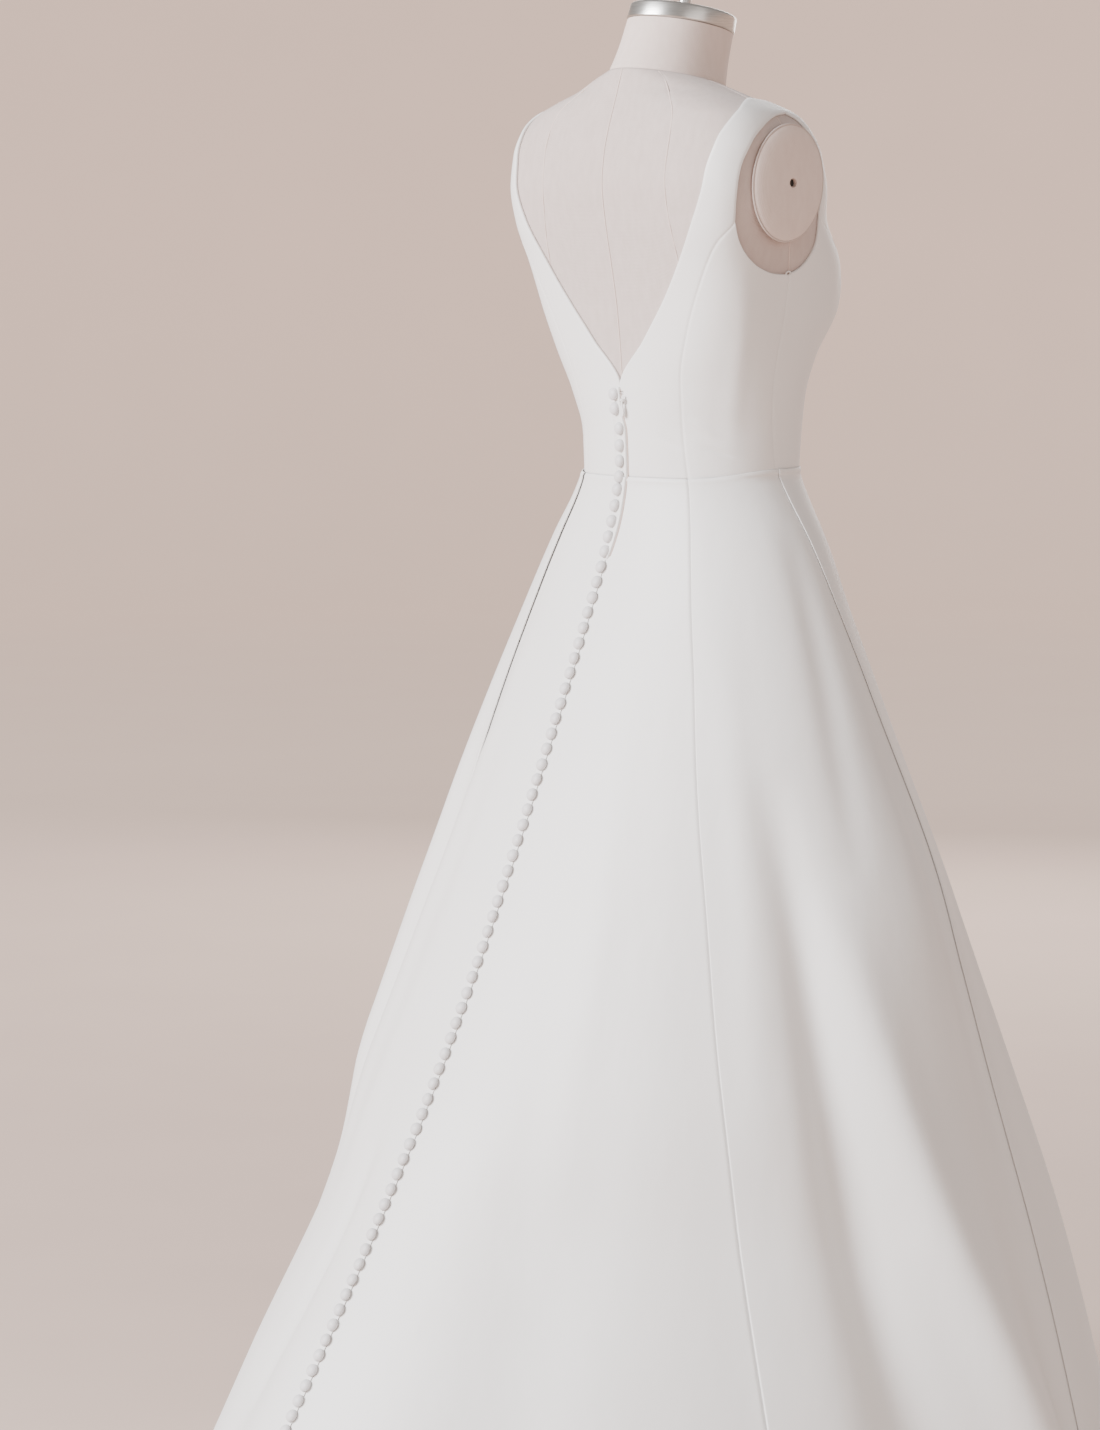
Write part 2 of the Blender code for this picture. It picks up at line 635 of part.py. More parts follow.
def round_ring(centre, radius, tilt, sides):
    """A ring around the neck's axis, lower at the front by the tilt."""
    ring = []
    for k in range(sides):
        turn = 2 * math.pi * k / sides
        x, y = radius * math.cos(turn), radius * math.sin(turn)
        ring.append((centre[0] + x, centre[1] + y, centre[2] + y * tilt))
    return np.array(ring)


def add_neck(cloth, steel, collection):
    """Neck, steel neck cap and its turned knob."""
    rings = [round_ring((0, y, z), radius, NECK_TILT, NECK_SIDES) for y, z, radius in NECK]
    loft("form_neck", rings, cloth, collection)
    y, z = NECK[-1][0], NECK[-1][1] + SEAM
    low, high = CAP_RADIUS
    body = ((0.0, low - CAP_EDGE), (CAP_EDGE, low), (CAP_HEIGHT - CAP_EDGE, high + CAP_EDGE),
            (CAP_HEIGHT, high - CAP_EDGE))
    rings = [round_ring((0, y - CAP_LEAN * up / CAP_HEIGHT, z + up), radius, NECK_TILT, NECK_SIDES)
             for up, radius in body]
    loft("neck_cap", rings, steel, collection)
    knob = turned("neck_knob", KNOB_PROFILE, KNOB_STEPS, steel, collection)
    knob.location = (0, y - CAP_LEAN, z + CAP_HEIGHT + SEAM)
    knob.rotation_euler = (math.atan(NECK_TILT), 0, 0)


def turned(name, profile, steps, material, collection):
    """A turned body from a profile that runs down its outer side."""
    points = [(radius, 0.0, height) for radius, height in profile]
    mesh = bpy.data.meshes.new(name)
    mesh.from_pydata(points, [(i, i + 1) for i in range(len(points) - 1)], [])
    made = add_object(name, mesh, material, collection)
    spin = made.modifiers.new("turn", "SCREW")
    spin.steps = steps
    spin.render_steps = steps
    spin.use_merge_vertices = True
    spin.merge_threshold = MERGE
    spin.use_smooth_shade = True
    return made


def add_arm_plate(name, side, material, collection, cutters):
    """A domed oval plate that closes the form's shoulder, with its small fixing hole."""
    rings = []
    for out, share in PLATE:
        ring = []
        for k in range(PLATE_SIDES):
            turn = 2 * math.pi * k / PLATE_SIDES
            y, z = PLATE_HALF_Y * share * math.cos(turn), PLATE_HALF_Z * share * math.sin(turn)
            lean_y = y * math.cos(PLATE_TURN) - z * math.sin(PLATE_TURN)
            lean_z = y * math.sin(PLATE_TURN) + z * math.cos(PLATE_TURN)
            ring.append((side * (ARM_PLANE_X + SEAM + out), PLATE_Y + lean_y, PLATE_Z + lean_z))
        rings.append(np.array(ring if side > 0 else ring[::-1]))
    plate = loft(name, rings, material, collection)
    mesh = bpy.data.meshes.new(name + "_hole")
    shape = bmesh.new()
    bmesh.ops.create_cone(shape, cap_ends=True, segments=12, radius1=PLATE_HOLE, radius2=PLATE_HOLE,
                          depth=2 * PLATE_HOLE_DEPTH)
    shape.to_mesh(mesh)
    shape.free()
    hole = add_object(name + "_hole", mesh, material, cutters)
    hole.rotation_euler = (0, math.pi / 2, 0)
    hole.location = (side * (ARM_PLANE_X + SEAM + PLATE[-1][0]), PLATE_Y, PLATE_Z)
    add_boolean(plate, hole, "DIFFERENCE")


def add_stand(steel, collection):
    """Round steel foot and pole."""
    foot = ((0.0, BASE_THICK), (2 * POLE_RADIUS, BASE_THICK),
            (BASE_RADIUS - BASE_EDGE, BASE_THICK - BASE_FALL), (BASE_RADIUS, BASE_THICK - BASE_EDGE),
            (BASE_RADIUS, 0.0), (0.0, 0.0))
    turned("stand_foot", foot, BASE_STEPS, steel, collection)
    top = TORSO[0][0] - SEAM
    low = BASE_THICK + SEAM
    pole = ((0.0, top), (POLE_RADIUS, top), (POLE_RADIUS, low), (0.0, low))
    turned("stand_pole", pole, POLE_SIDES, steel, collection)


def centre_back_line():
    """Points and normals of the cloth's outer face down the centre back, ending at the hem."""
    line = []
    heights = [row[1] for row in with_halfway(BACK_EDGES) if row[0] == 0.0]
    for z in (V_POINT_Z - TURN_START, *heights[-2:0:-1], WAIST_Z + SEAM):
        line.append((bodice_point(0.0, z), outward(torso_point, 0.0, z)))
    for row in range(len(SKIRT_ROWS) + len(HEM_SHARES)):
        point, normal, _ = skirt_frame(1, 0.0, skirt_level(row, 0.0))
        line.append((point, normal))
    for point, normal in line:
        point[0] = 0.0
        normal[0] = 0.0
        normal /= np.linalg.norm(normal)
    return line


def line_place(line, distance):
    """Point and normal at a distance along the centre back."""
    for i in range(len(line) - 1):
        step = line[i + 1][0] - line[i][0]
        length = np.linalg.norm(step)
        if distance <= length or i == len(line) - 2:
            part = distance / length
            normal = line[i][1] + (line[i + 1][1] - line[i][1]) * part
            return line[i][0] + step * part, normal / np.linalg.norm(normal)
        distance -= length


def line_length(line):
    return sum(np.linalg.norm(line[i + 1][0] - line[i][0]) for i in range(len(line) - 1))


def strip_rings(line, start, stop, left, right):
    """Flat tape laid on the centre back between two distances."""
    knots = np.cumsum([np.linalg.norm(line[i + 1][0] - line[i][0]) for i in range(len(line) - 1)])
    if isinstance(left, tuple):
        knots = np.concatenate((knots, left[0], right[0]))
    stations = [start]
    for knot in sorted(knots):
        if stations[-1] + SEAM < knot < stop - SEAM:
            stations.append(knot)
    stations.append(stop)
    rings = []
    for distance in stations:
        point, normal = line_place(line, distance)
        low, high = point + SEAM * normal, point + (SEAM + TAPE_THICK) * normal
        across = np.array((1.0, 0.0, 0.0))
        lap = np.interp(distance - start, *right) if isinstance(right, tuple) else right
        edge = np.interp(distance - start, *left) if isinstance(left, tuple) else left
        rings.append(np.array([face + across * x for face, x in ((low, lap), (low, edge), (high, edge),
                                                                 (high, lap))]))
    return rings


def add_buttons(name, line, start, stop, places, left, right, material, collection, cutters):
    """A tape with its covered buttons, one body."""
    tape = loft(name, strip_rings(line, start, stop, left, right), material, collection)
    points, faces = [], []
    for distance, x in places:
        point, normal = line_place(line, distance)
        down = np.cross(np.array((1.0, 0.0, 0.0)), normal)
        first = len(points)
        foot = point + (SEAM + BUTTON_SINK * TAPE_THICK) * normal + np.array((x, 0, 0))
        for share, width in ((0.0, 1.0), DOME_RING):
            for k in range(BUTTON_SIDES):
                turn = 2 * math.pi * k / BUTTON_SIDES
                radius = BUTTON_RADIUS * width
                offset = np.array((radius * math.cos(turn), 0, 0)) + down * radius * math.sin(turn)
                points.append(foot + offset + normal * BUTTON_HEIGHT * share)
        points.append(foot + normal * BUTTON_HEIGHT)
        tip = len(points) - 1
        faces.append(tuple(first + k for k in range(BUTTON_SIDES)))
        for k in range(BUTTON_SIDES):
            n = (k + 1) % BUTTON_SIDES
            faces.append((first + n, first + k, first + BUTTON_SIDES + k, first + BUTTON_SIDES + n))
            faces.append((first + BUTTON_SIDES + n, first + BUTTON_SIDES + k, tip))
    domes = add_object(name + "_domes", mesh_from(name + "_domes", points, faces), material, cutters)
    face_outward(domes.data)
    add_boolean(tape, domes, "UNION")
    return tape


def add_block(name, size, centre, material, collection):
    """A box from its size and the place of its middle."""
    shape = bmesh.new()
    bmesh.ops.create_cube(shape, size=1.0)
    bmesh.ops.scale(shape, vec=Vector(size), verts=shape.verts)
    bmesh.ops.translate(shape, vec=Vector(centre), verts=shape.verts)
    mesh = bpy.data.meshes.new(name)
    shape.to_mesh(mesh)
    shape.free()
    return add_object(name, mesh, material, collection)


def add_pin(name, radius, length, centre, material, collection):
    """A round pin along X."""
    shape = bmesh.new()
    bmesh.ops.create_cone(shape, cap_ends=True, segments=10, radius1=radius, radius2=radius, depth=length)
    bmesh.ops.rotate(shape, cent=(0, 0, 0), matrix=Matrix.Rotation(math.pi / 2, 3, "Y"), verts=shape.verts)
    bmesh.ops.translate(shape, vec=Vector(centre), verts=shape.verts)
    mesh = bpy.data.meshes.new(name)
    shape.to_mesh(mesh)
    shape.free()
    return add_object(name, mesh, material, collection)


def add_zip(metal, collection, cutters):
    """Slider of the hidden zip with its hanging teardrop tab."""
    foot = bodice_point(SLIDER_ANGLE, SLIDER_Z)
    normal = outward(torso_point, SLIDER_ANGLE, SLIDER_Z)
    lean = math.atan2(normal[2], normal[1])
    base = add_block("zip_slider", SLIDER_SIZE, (0, SEAM + SLIDER_SIZE[1] / 2, 0), metal, collection)
    for side in (-1, 1):
        x = side * (SLIDER_SIZE[0] - CHEEK_SIZE[0]) / 2
        low = SEAM + SLIDER_SIZE[1] - CHEEK_SINK
        cheek = add_block("zip_cheek", CHEEK_SIZE, (x, low + CHEEK_SIZE[1] / 2, 0), metal, cutters)
        add_boolean(base, cheek, "UNION")
        place(cheek, foot, lean)
    pin_length = SLIDER_SIZE[0] - CHEEK_SIZE[0]
    pin = add_pin("zip_pin", PIN_RADIUS, pin_length, (0, HINGE_OUT, 0), metal, cutters)
    add_boolean(base, pin, "UNION")
    place(pin, foot, lean)
    place(base, foot, lean)
    half = TAB_THICK / 2
    outline = [(x, -down) for x, down in TAB_OUTLINE] + [(-x, -down) for x, down in TAB_OUTLINE[::-1]]
    rings = [np.array([(x, y, z) for x, z in outline]) for y in (-half, half)]
    tab = loft("zip_pull_tab", rings, metal, collection)
    eye = add_pin("zip_eye", EYE_RADIUS, EYE_WIDTH, (0, 0, 0), metal, cutters)
    hole = add_pin("zip_eye_hole", EYE_HOLE, 2 * EYE_WIDTH, (0, 0, 0), metal, cutters)
    add_boolean(tab, eye, "UNION")
    add_boolean(tab, hole, "DIFFERENCE")
    hinge = foot + HINGE_OUT * np.array((0, math.cos(lean), math.sin(lean)))
    for piece in (tab, eye, hole):
        place(piece, hinge, 0.0)


def place(piece, point, lean):
    piece.location = Vector(point)
    piece.rotation_euler = (lean, 0, 0)


def add_back_closure(cloth, collection, cutters):
    """The lapped placket and the button tapes that carry the row to the end of the train."""
    line = centre_back_line()
    places = list(FIRST_BUTTONS)
    while places[-1][0] + BUTTON_PITCH < PLACKET_END:
        places.append((places[-1][0] + BUTTON_PITCH, 0.0))
    add_buttons("back_placket", line, 0.0, PLACKET_END, places, PLACKET_LEFT, PLACKET_RIGHT,
                cloth, collection, cutters)
    first = places[-1][0] + BUTTON_PITCH
    start = PLACKET_END + SEAM
    end = line_length(line) - TAPE_HEM
    for name in ("button_tape_upper", "button_tape_middle", "button_tape_train"):
        last = name == "button_tape_train"
        count = int((end - LAST_BUTTON - first) / BUTTON_PITCH) + 1 if last else TAPE_BUTTONS
        places = [(first + k * BUTTON_PITCH, 0.0) for k in range(count)]
        stop = end if last else places[-1][0] + BUTTON_PITCH / 2
        add_buttons(name, line, start, stop, places, TAPE_HALF, -TAPE_HALF, cloth, collection, cutters)
        first = places[-1][0] + BUTTON_PITCH
        start = stop + SEAM


def add_bodice(cloth, collection):
    back_princess = [(row[2], row[3]) for row in BACK_EDGES]
    front_princess = [(row[2], row[3]) for row in FRONT_EDGES]

    def faces_of(make, *sizes):
        return [make(*sizes, lift) for lift in (EASE + BODICE_WALL, EASE)]

    back_side = (back_princess, SIDE_SEAM, ARMHOLE_BACK, BACK_SIDE_COLUMNS)
    front_side = (SIDE_SEAM, front_princess, ARMHOLE_FRONT, FRONT_SIDE_COLUMNS)
    pieces = {
        "bodice_back": faces_of(strip_grid, BACK_EDGES, BACK_COLUMNS, 1),
        "bodice_back_side": faces_of(side_grid, *back_side),
        "bodice_front_side": faces_of(side_grid, *front_side),
    }
    for name, (outer, inner) in pieces.items():
        add_shell(name + "_right", outer, inner, cloth, collection)
        add_shell(name + "_left", mirrored(outer), mirrored(inner), cloth, collection)
    outer, inner = [grid[:, ::-1] for grid in faces_of(strip_grid, FRONT_EDGES, FRONT_COLUMNS, -1)]
    piece = add_shell("bodice_front", outer, inner, cloth, collection)
    both = piece.modifiers.new("both halves", "MIRROR")
    both.merge_threshold = MERGE


def add_skirt(cloth, collection):
    for side, word in ((-1, "right"), (1, "left")):
        back = skirt_grid(side, "plain", "back_pleat", BACK_STEPS[side])
        add_cloth("skirt_back_" + word, back, True, SKIRT_WALL, cloth, collection)
        flank = skirt_grid(side, "back_pleat", "side_pleat", SIDE_STEPS[side])
        add_cloth("skirt_side_" + word, flank, True, SKIRT_WALL, cloth, collection)
    right = skirt_grid(-1, "side_pleat", "middle", FRONT_STEPS)
    left = skirt_grid(1, "side_pleat", "middle", FRONT_STEPS)
    front = np.concatenate((right, left[:, 1:]), axis=1)
    add_cloth("skirt_front", front, True, SKIRT_WALL, cloth, collection)


def main():
    for old in list(bpy.data.objects):
        bpy.data.objects.remove(old, do_unlink=True)
    gown = bpy.data.collections.new("wedding_dress")
    cutters = bpy.data.collections.new("cutters")
    for group in (gown, cutters):
        bpy.context.scene.collection.children.link(group)
    satin = new_material("ivory satin", (0.80, 0.79, 0.78), 0.45)
    button = new_material("covered buttons", (0.79, 0.78, 0.77), 0.50)
    linen = new_material("form linen", (0.66, 0.58, 0.55), 0.80)
    steel = new_material("brushed steel", (0.60, 0.58, 0.56), 0.30, 1.0)
    enamel = new_material("white zip enamel", (0.78, 0.77, 0.76), 0.35)
    add_bodice(satin, gown)
    add_skirt(satin, gown)
    add_back_closure(button, gown, cutters)
    add_zip(enamel, gown, cutters)
    add_torso(linen, gown)
    add_neck(linen, steel, gown)
    for side, word in ((-1, "right"), (1, "left")):
        add_arm_plate("arm_plate_" + word, side, linen, gown, cutters)
    add_stand(steel, gown)


main()
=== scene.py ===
"""Looks of a sleeveless A-line wedding gown on a limbless dress form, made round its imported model.

Metres, +Z up. The gown faces -Y, its train lies toward +Y, and the wearer's right is at -X.
Angles run from the centre back (0) round the side (90) to the centre front (180).
SIDE is -1 on the wearer's right and 1 on the left.
"""
import json
import math

import bmesh
import bpy
import numpy as np
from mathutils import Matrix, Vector

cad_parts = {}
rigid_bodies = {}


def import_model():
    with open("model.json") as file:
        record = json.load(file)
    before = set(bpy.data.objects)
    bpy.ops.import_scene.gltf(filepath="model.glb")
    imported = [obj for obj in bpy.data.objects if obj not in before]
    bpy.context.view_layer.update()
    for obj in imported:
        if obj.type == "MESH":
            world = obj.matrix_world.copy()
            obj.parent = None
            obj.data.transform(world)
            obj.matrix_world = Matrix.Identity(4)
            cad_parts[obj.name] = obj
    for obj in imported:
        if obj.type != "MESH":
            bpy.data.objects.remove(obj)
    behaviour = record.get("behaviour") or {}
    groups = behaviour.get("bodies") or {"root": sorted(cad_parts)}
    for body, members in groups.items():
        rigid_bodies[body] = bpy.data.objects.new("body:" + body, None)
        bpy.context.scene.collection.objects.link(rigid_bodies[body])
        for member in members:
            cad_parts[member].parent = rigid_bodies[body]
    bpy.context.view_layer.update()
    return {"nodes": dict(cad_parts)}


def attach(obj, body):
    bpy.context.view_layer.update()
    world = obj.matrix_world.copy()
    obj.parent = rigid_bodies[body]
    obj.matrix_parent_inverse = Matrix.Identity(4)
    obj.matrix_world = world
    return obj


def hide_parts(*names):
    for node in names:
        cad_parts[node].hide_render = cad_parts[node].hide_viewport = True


BODY = "dress_and_form"

# Camera, for a picture of 1100 x 1430
CAMERA_PLACE = (-3.396, 2.952, 1.280)
CAMERA_HEADING = math.radians(-129.29)
CAMERA_PITCH = math.radians(5.98)
CAMERA_LENS = 118.95     # mm, for a sensor 36 mm on the picture's long side

# The garment's sizes, as in the solids
EASE = 0.0020
BODICE_WALL = 0.0015
SKIRT_WALL = 0.0007
SEAM = 0.0003
WAIST_Z = 1.040
WAIST_RISE = 0.009
RISE_START = 38.0
RISE_END = 92.0
RISE_FADE = 0.060
V_POINT_Z = 1.125
NECK_Y = 0.031
ARM_PLANE_X = 0.164
FORM_BUST = 0.0180
GOWN_BUST = 0.0210
BUST_X = 0.082
BUST_Z = 1.222
BUST_WIDE = 0.045
BUST_TALL = 0.052
# Radius of each pleat's fold at the waist, at PLEAT_LOW and at the floor, by the edge it is asked for
PLEAT_FOLD = {
    "plain": (0.0008, 0.0016, 0.0015),
    "back_pleat": (0.0008, 0.0016, 0.0015),
    "side_pleat": (0.0006, 0.0009, 0.0010),
    "middle": (0.0006, 0.0009, 0.0010),
}
PLEAT_LOW = 0.160
PLEAT_UNDER = 0.012
PLEAT_GAP = 0.0003
PLEAT_RAISE = 0.0012
RAISE_WIDTH = 0.030
SINK_WIDTH = 0.045
CENTRE_GAP = 0.0002
TRAIN = 0.360
FRONT_HEM = 0.012
FLOOR_BEND = 0.045
FLOOR_REST = 0.0016
SKIRT_TOP = 1.0380
SKIRT_LOW = 0.0800       # below this level the rows share out what is left of the cloth

TORSO_COLUMNS = ("z", "half", "back", "front", "centre", "square_back", "square_front", "tilt")
TORSO = (
    (0.8000, 0.1580, 0.1120, 0.0940, 0.000, 2.2, 2.2, 0.00),
    (0.8600, 0.1620, 0.1140, 0.0960, 0.000, 2.2, 2.2, 0.00),
    (0.9400, 0.1470, 0.1030, 0.0920, 0.000, 2.2, 2.1, 0.00),
    (1.0000, 0.1240, 0.0880, 0.0860, 0.000, 2.1, 2.0, 0.00),
    (1.0400, 0.1165, 0.0830, 0.0830, 0.000, 2.0, 2.0, 0.00),
    (1.0800, 0.1190, 0.0835, 0.0840, 0.000, 2.0, 2.0, 0.00),
    (1.1200, 0.1270, 0.0855, 0.0890, 0.003, 2.3, 1.9, 0.00),
    (1.1600, 0.1370, 0.0885, 0.0920, 0.006, 3.0, 2.1, 0.00),
    (1.2000, 0.1460, 0.0930, 0.0940, 0.010, 3.7, 2.6, 0.00),
    (1.2400, 0.1540, 0.1000, 0.0920, 0.015, 4.1, 2.6, 0.00),
    (1.2800, 0.1620, 0.1075, 0.0840, 0.020, 4.8, 2.2, 0.00),
    (1.3150, 0.1680, 0.1115, 0.0700, 0.024, 4.4, 2.5, 0.00),
    (1.3400, 0.1680, 0.1090, 0.0560, 0.026, 4.1, 2.7, 0.02),
    (1.3600, 0.1620, 0.1040, 0.0450, 0.028, 3.8, 2.8, 0.05),
    (1.3740, 0.1520, 0.0990, 0.0380, 0.029, 3.3, 2.8, 0.09),
    (1.3850, 0.1320, 0.0950, 0.0330, 0.030, 2.6, 2.6, 0.12),
    (1.3950, 0.1050, 0.0915, 0.0290, 0.031, 2.1, 2.3, 0.15),
    (1.4040, 0.0780, 0.0885, 0.0265, 0.031, 2.1, 2.1, 0.18),
    (1.4105, 0.0555, 0.0865, 0.0245, 0.031, 2.0, 2.0, 0.19),
)
SKIRT_COLUMNS = ("z", "half", "back", "front", "square_back", "square_front")
SKIRT = (
    (0.000, 0.528, 0.589, 0.432, 1.50, 1.67),
    (0.050, 0.510, 0.559, 0.415, 1.50, 1.67),
    (0.200, 0.467, 0.471, 0.383, 1.50, 1.67),
    (0.350, 0.420, 0.383, 0.340, 1.46, 1.67),
    (0.500, 0.370, 0.302, 0.272, 1.67, 1.67),
    (0.650, 0.323, 0.233, 0.190, 1.71, 1.71),
    (0.800, 0.251, 0.170, 0.148, 1.90, 1.70),
    (0.900, 0.202, 0.130, 0.120, 2.00, 1.75),
    (0.980, 0.160, 0.101, 0.097, 2.05, 1.95),
    (1.020, 0.133, 0.0905, 0.089, 2.00, 2.00),
    (1.040, 0.1205, 0.0870, 0.0870, 2.00, 2.00),
)
# Bodice edges: inner angle, inner height, outer angle, outer height
BACK_EDGES = (
    (0.0, 1.0400, 38.4, 1.0400),
    (0.0, 1.0825, 34.8, 1.0900),
    (0.0, 1.1250, 33.2, 1.1400),
    (15.0, 1.1690, 34.6, 1.1660),
    (26.0, 1.2080, 36.8, 1.1920),
    (32.8, 1.2420, 41.0, 1.2260),
    (38.0, 1.2780, 46.6, 1.2600),
    (41.5, 1.3100, 53.0, 1.2790),
    (43.0, 1.3300, 53.4, 1.3000),
    (46.5, 1.3520, 55.5, 1.3280),
    (54.0, 1.3690, 61.5, 1.3500),
    (67.0, 1.3815, 74.0, 1.3660),
    (83.0, 1.3880, 89.0, 1.3745),
    (100.0, 1.3885, 103.0, 1.3780),
)
FRONT_EDGES = (
    (180.0, 1.0400, 147.0, 1.0400),
    (180.0, 1.0850, 147.0, 1.0850),
    (180.0, 1.1300, 147.0, 1.1300),
    (180.0, 1.1750, 148.0, 1.1720),
    (180.0, 1.2150, 147.0, 1.2120),
    (180.0, 1.2500, 139.0, 1.2420),
    (180.0, 1.2810, 126.0, 1.2660),
    (166.0, 1.2850, 113.0, 1.2840),
    (154.0, 1.2970, 115.0, 1.3000),
    (146.0, 1.3180, 117.0, 1.3200),
    (139.0, 1.3430, 118.0, 1.3430),
    (130.0, 1.3660, 116.0, 1.3620),
    (117.0, 1.3810, 111.5, 1.3730),
    (100.6, 1.3885, 103.6, 1.3780),
)
PRINCESS_ROWS = 8
SIDE_SEAM = ((90.0, 1.0400), (86.8, 1.0760), (84.6, 1.1060), (83.2, 1.1400), (84.0, 1.1650),
             (86.0, 1.1870), (87.6, 1.2090), (88.6, 1.2300))
ARMHOLE_BACK = ((53.0, 1.2790), (54.6, 1.2640), (58.6, 1.2490), (66.0, 1.2370), (77.0, 1.2310),
                (88.6, 1.2300))
ARMHOLE_FRONT = ((88.6, 1.2300), (96.5, 1.2370), (103.0, 1.2480), (108.0, 1.2610), (111.0, 1.2730),
                 (113.0, 1.2840))
PLEAT_COLUMNS = ("z", "back_pleat", "side_pleat")
PLEATS = (
    (0.000, 64.0, 103.0),
    (0.200, 59.0, 102.5),
    (0.400, 52.3, 102.3),
    (0.600, 44.8, 103.0),
    (0.720, 41.0, 107.0),
    (0.850, 38.4, 102.0),
    (0.970, 36.0, 95.5),
    (1.040, 38.4, 92.0),
)
FOLD_COLUMNS = ("side", "top_angle", "hem_angle", "start_z", "full_z", "depth", "width")
FOLDS = (
    (-1, 57.0, 84.0, 0.80, 0.0, -0.034, 6.0),
    (-1, 71.0, 96.0, 0.74, 0.0, 0.036, 7.0),
    (-1, 92.0, 101.0, 0.66, 0.0, -0.020, 5.0),
    (-1, 17.0, 30.0, 0.84, 0.0, -0.013, 9.0),
    (-1, 130.0, 134.0, 0.78, 0.0, -0.022, 9.0),
    (-1, 156.0, 158.0, 0.72, 0.0, 0.014, 9.0),
    (1, 11.0, 17.0, 0.62, 0.0, -0.012, 6.0),
    (1, 37.0, 55.0, 0.96, 0.50, -0.036, 8.0),
    (1, 58.0, 66.0, 0.70, 0.45, 0.012, 7.0),
    (1, 78.0, 88.0, 0.74, 0.0, -0.018, 7.0),
    (1, 124.0, 128.0, 0.74, 0.0, -0.020, 8.0),
    (1, 160.0, 161.0, 0.66, 0.0, -0.012, 8.0),
)

# Soft creases: a line from its top to its foot, how deep (a ridge stands out), how wide
CREASE_COLUMNS = ("side", "top_angle", "top_z", "foot_angle", "foot_z", "depth", "width")
SKIRT_CREASES = (
    (-1, 17.0, 0.900, 27.0, 0.300, 0.0030, 0.030),
    (-1, 46.0, 0.950, 56.0, 0.420, 0.0030, 0.022),
    (-1, 82.0, 1.000, 76.0, 0.680, -0.0040, 0.020),
    (-1, 57.5, 0.780, 78.0, 0.140, -0.0110, 0.024),
    (-1, 68.0, 0.680, 94.0, 0.120, 0.0110, 0.030),
    (-1, 80.0, 0.360, 90.0, 0.060, -0.0080, 0.030),
    (-1, 97.0, 0.860, 100.0, 0.300, -0.0040, 0.018),
    (-1, 118.0, 0.930, 121.0, 0.240, 0.0050, 0.026),
    (-1, 145.0, 0.800, 149.0, 0.100, -0.0050, 0.030),
    (-1, 168.0, 0.900, 170.0, 0.300, 0.0040, 0.030),
    (1, 9.6, 0.430, 15.0, 0.170, -0.0070, 0.016),
    (1, 20.0, 0.900, 25.0, 0.320, -0.0030, 0.025),
    (1, 46.0, 0.880, 60.0, 0.330, 0.0040, 0.024),
    (1, 66.0, 0.800, 78.0, 0.200, -0.0050, 0.022),
    (1, 98.0, 0.900, 104.0, 0.260, 0.0040, 0.020),
    (1, 112.0, 0.800, 116.0, 0.200, -0.0050, 0.026),
    (1, 140.0, 0.860, 143.0, 0.150, 0.0050, 0.028),
    (1, 171.0, 0.700, 172.0, 0.150, -0.0040, 0.026),
)
BODICE_CREASES = (
    (-1, 57.0, 1.240, 62.0, 1.060, 0.0016, 0.012),
    (-1, 22.0, 1.082, 36.0, 1.066, -0.0008, 0.005),
    (-1, 38.0, 1.098, 54.0, 1.078, 0.0012, 0.006),
    (-1, 44.0, 1.072, 62.0, 1.060, -0.0013, 0.005),
    (-1, 120.0, 1.190, 140.0, 1.120, -0.0006, 0.007),
    (1, 20.0, 1.090, 34.0, 1.070, -0.0005, 0.005),
    (1, 58.0, 1.230, 61.0, 1.070, 0.0013, 0.012),
    (1, 46.0, 1.080, 60.0, 1.062, -0.0006, 0.005),
    (1, 122.0, 1.180, 138.0, 1.110, 0.0006, 0.007),
)

# How the sewn edges look
GROOVE_DEPTH = 0.0005    # a panel's edge rolls in this far at its seam
GROOVE_WIDTH = 0.0016
WAIST_ROLL = 0.3         # share of that depth at the waist seam
CREVICE = {"back_pleat": 0.0012, "side_pleat": 0.0002, "middle": 0.0}    # dip of the cloth beside a fold
CREVICE_WIDTH = 0.0022
EDGE_ROUND = 0.0005      # the rim of a cloth piece bulges this far
EDGE_TUCK = 0.0018       # the inside lies this much closer to the form along a piece's edges
EDGE_TUCK_WIDTH = 0.0060
WAIST_RIDGE = 0.0007     # the skirt's top edge stands up beside the waist seam
WAIST_RIDGE_WIDTH = 0.0022

# How finely the cloth is divided
ROWS_UPPER = 120
ROWS_LOWER = 56
WAIST_ROWS = (0.0, 0.0006, 0.0012, 0.0018, 0.0024, 0.0032, 0.0042, 0.0056)
FOLD_STEPS = 8
SKIRT_PANELS = (("skirt_back", "plain", "back_pleat"), ("skirt_side", "back_pleat", "side_pleat"))
PANEL_COLUMNS = 96
FRONT_COLUMNS = 60
FRONT_BUNCHING = 0.2
STRIP_ROWS = (150, 0.55)
SIDE_ROWS = (110, 0.80)
BODICE_COLUMNS = (44, 0.88)
ON_MIDDLE = 0.00002
MIDDLE_ANGLE = 179.99
MIDDLE_WELD = 0.00005

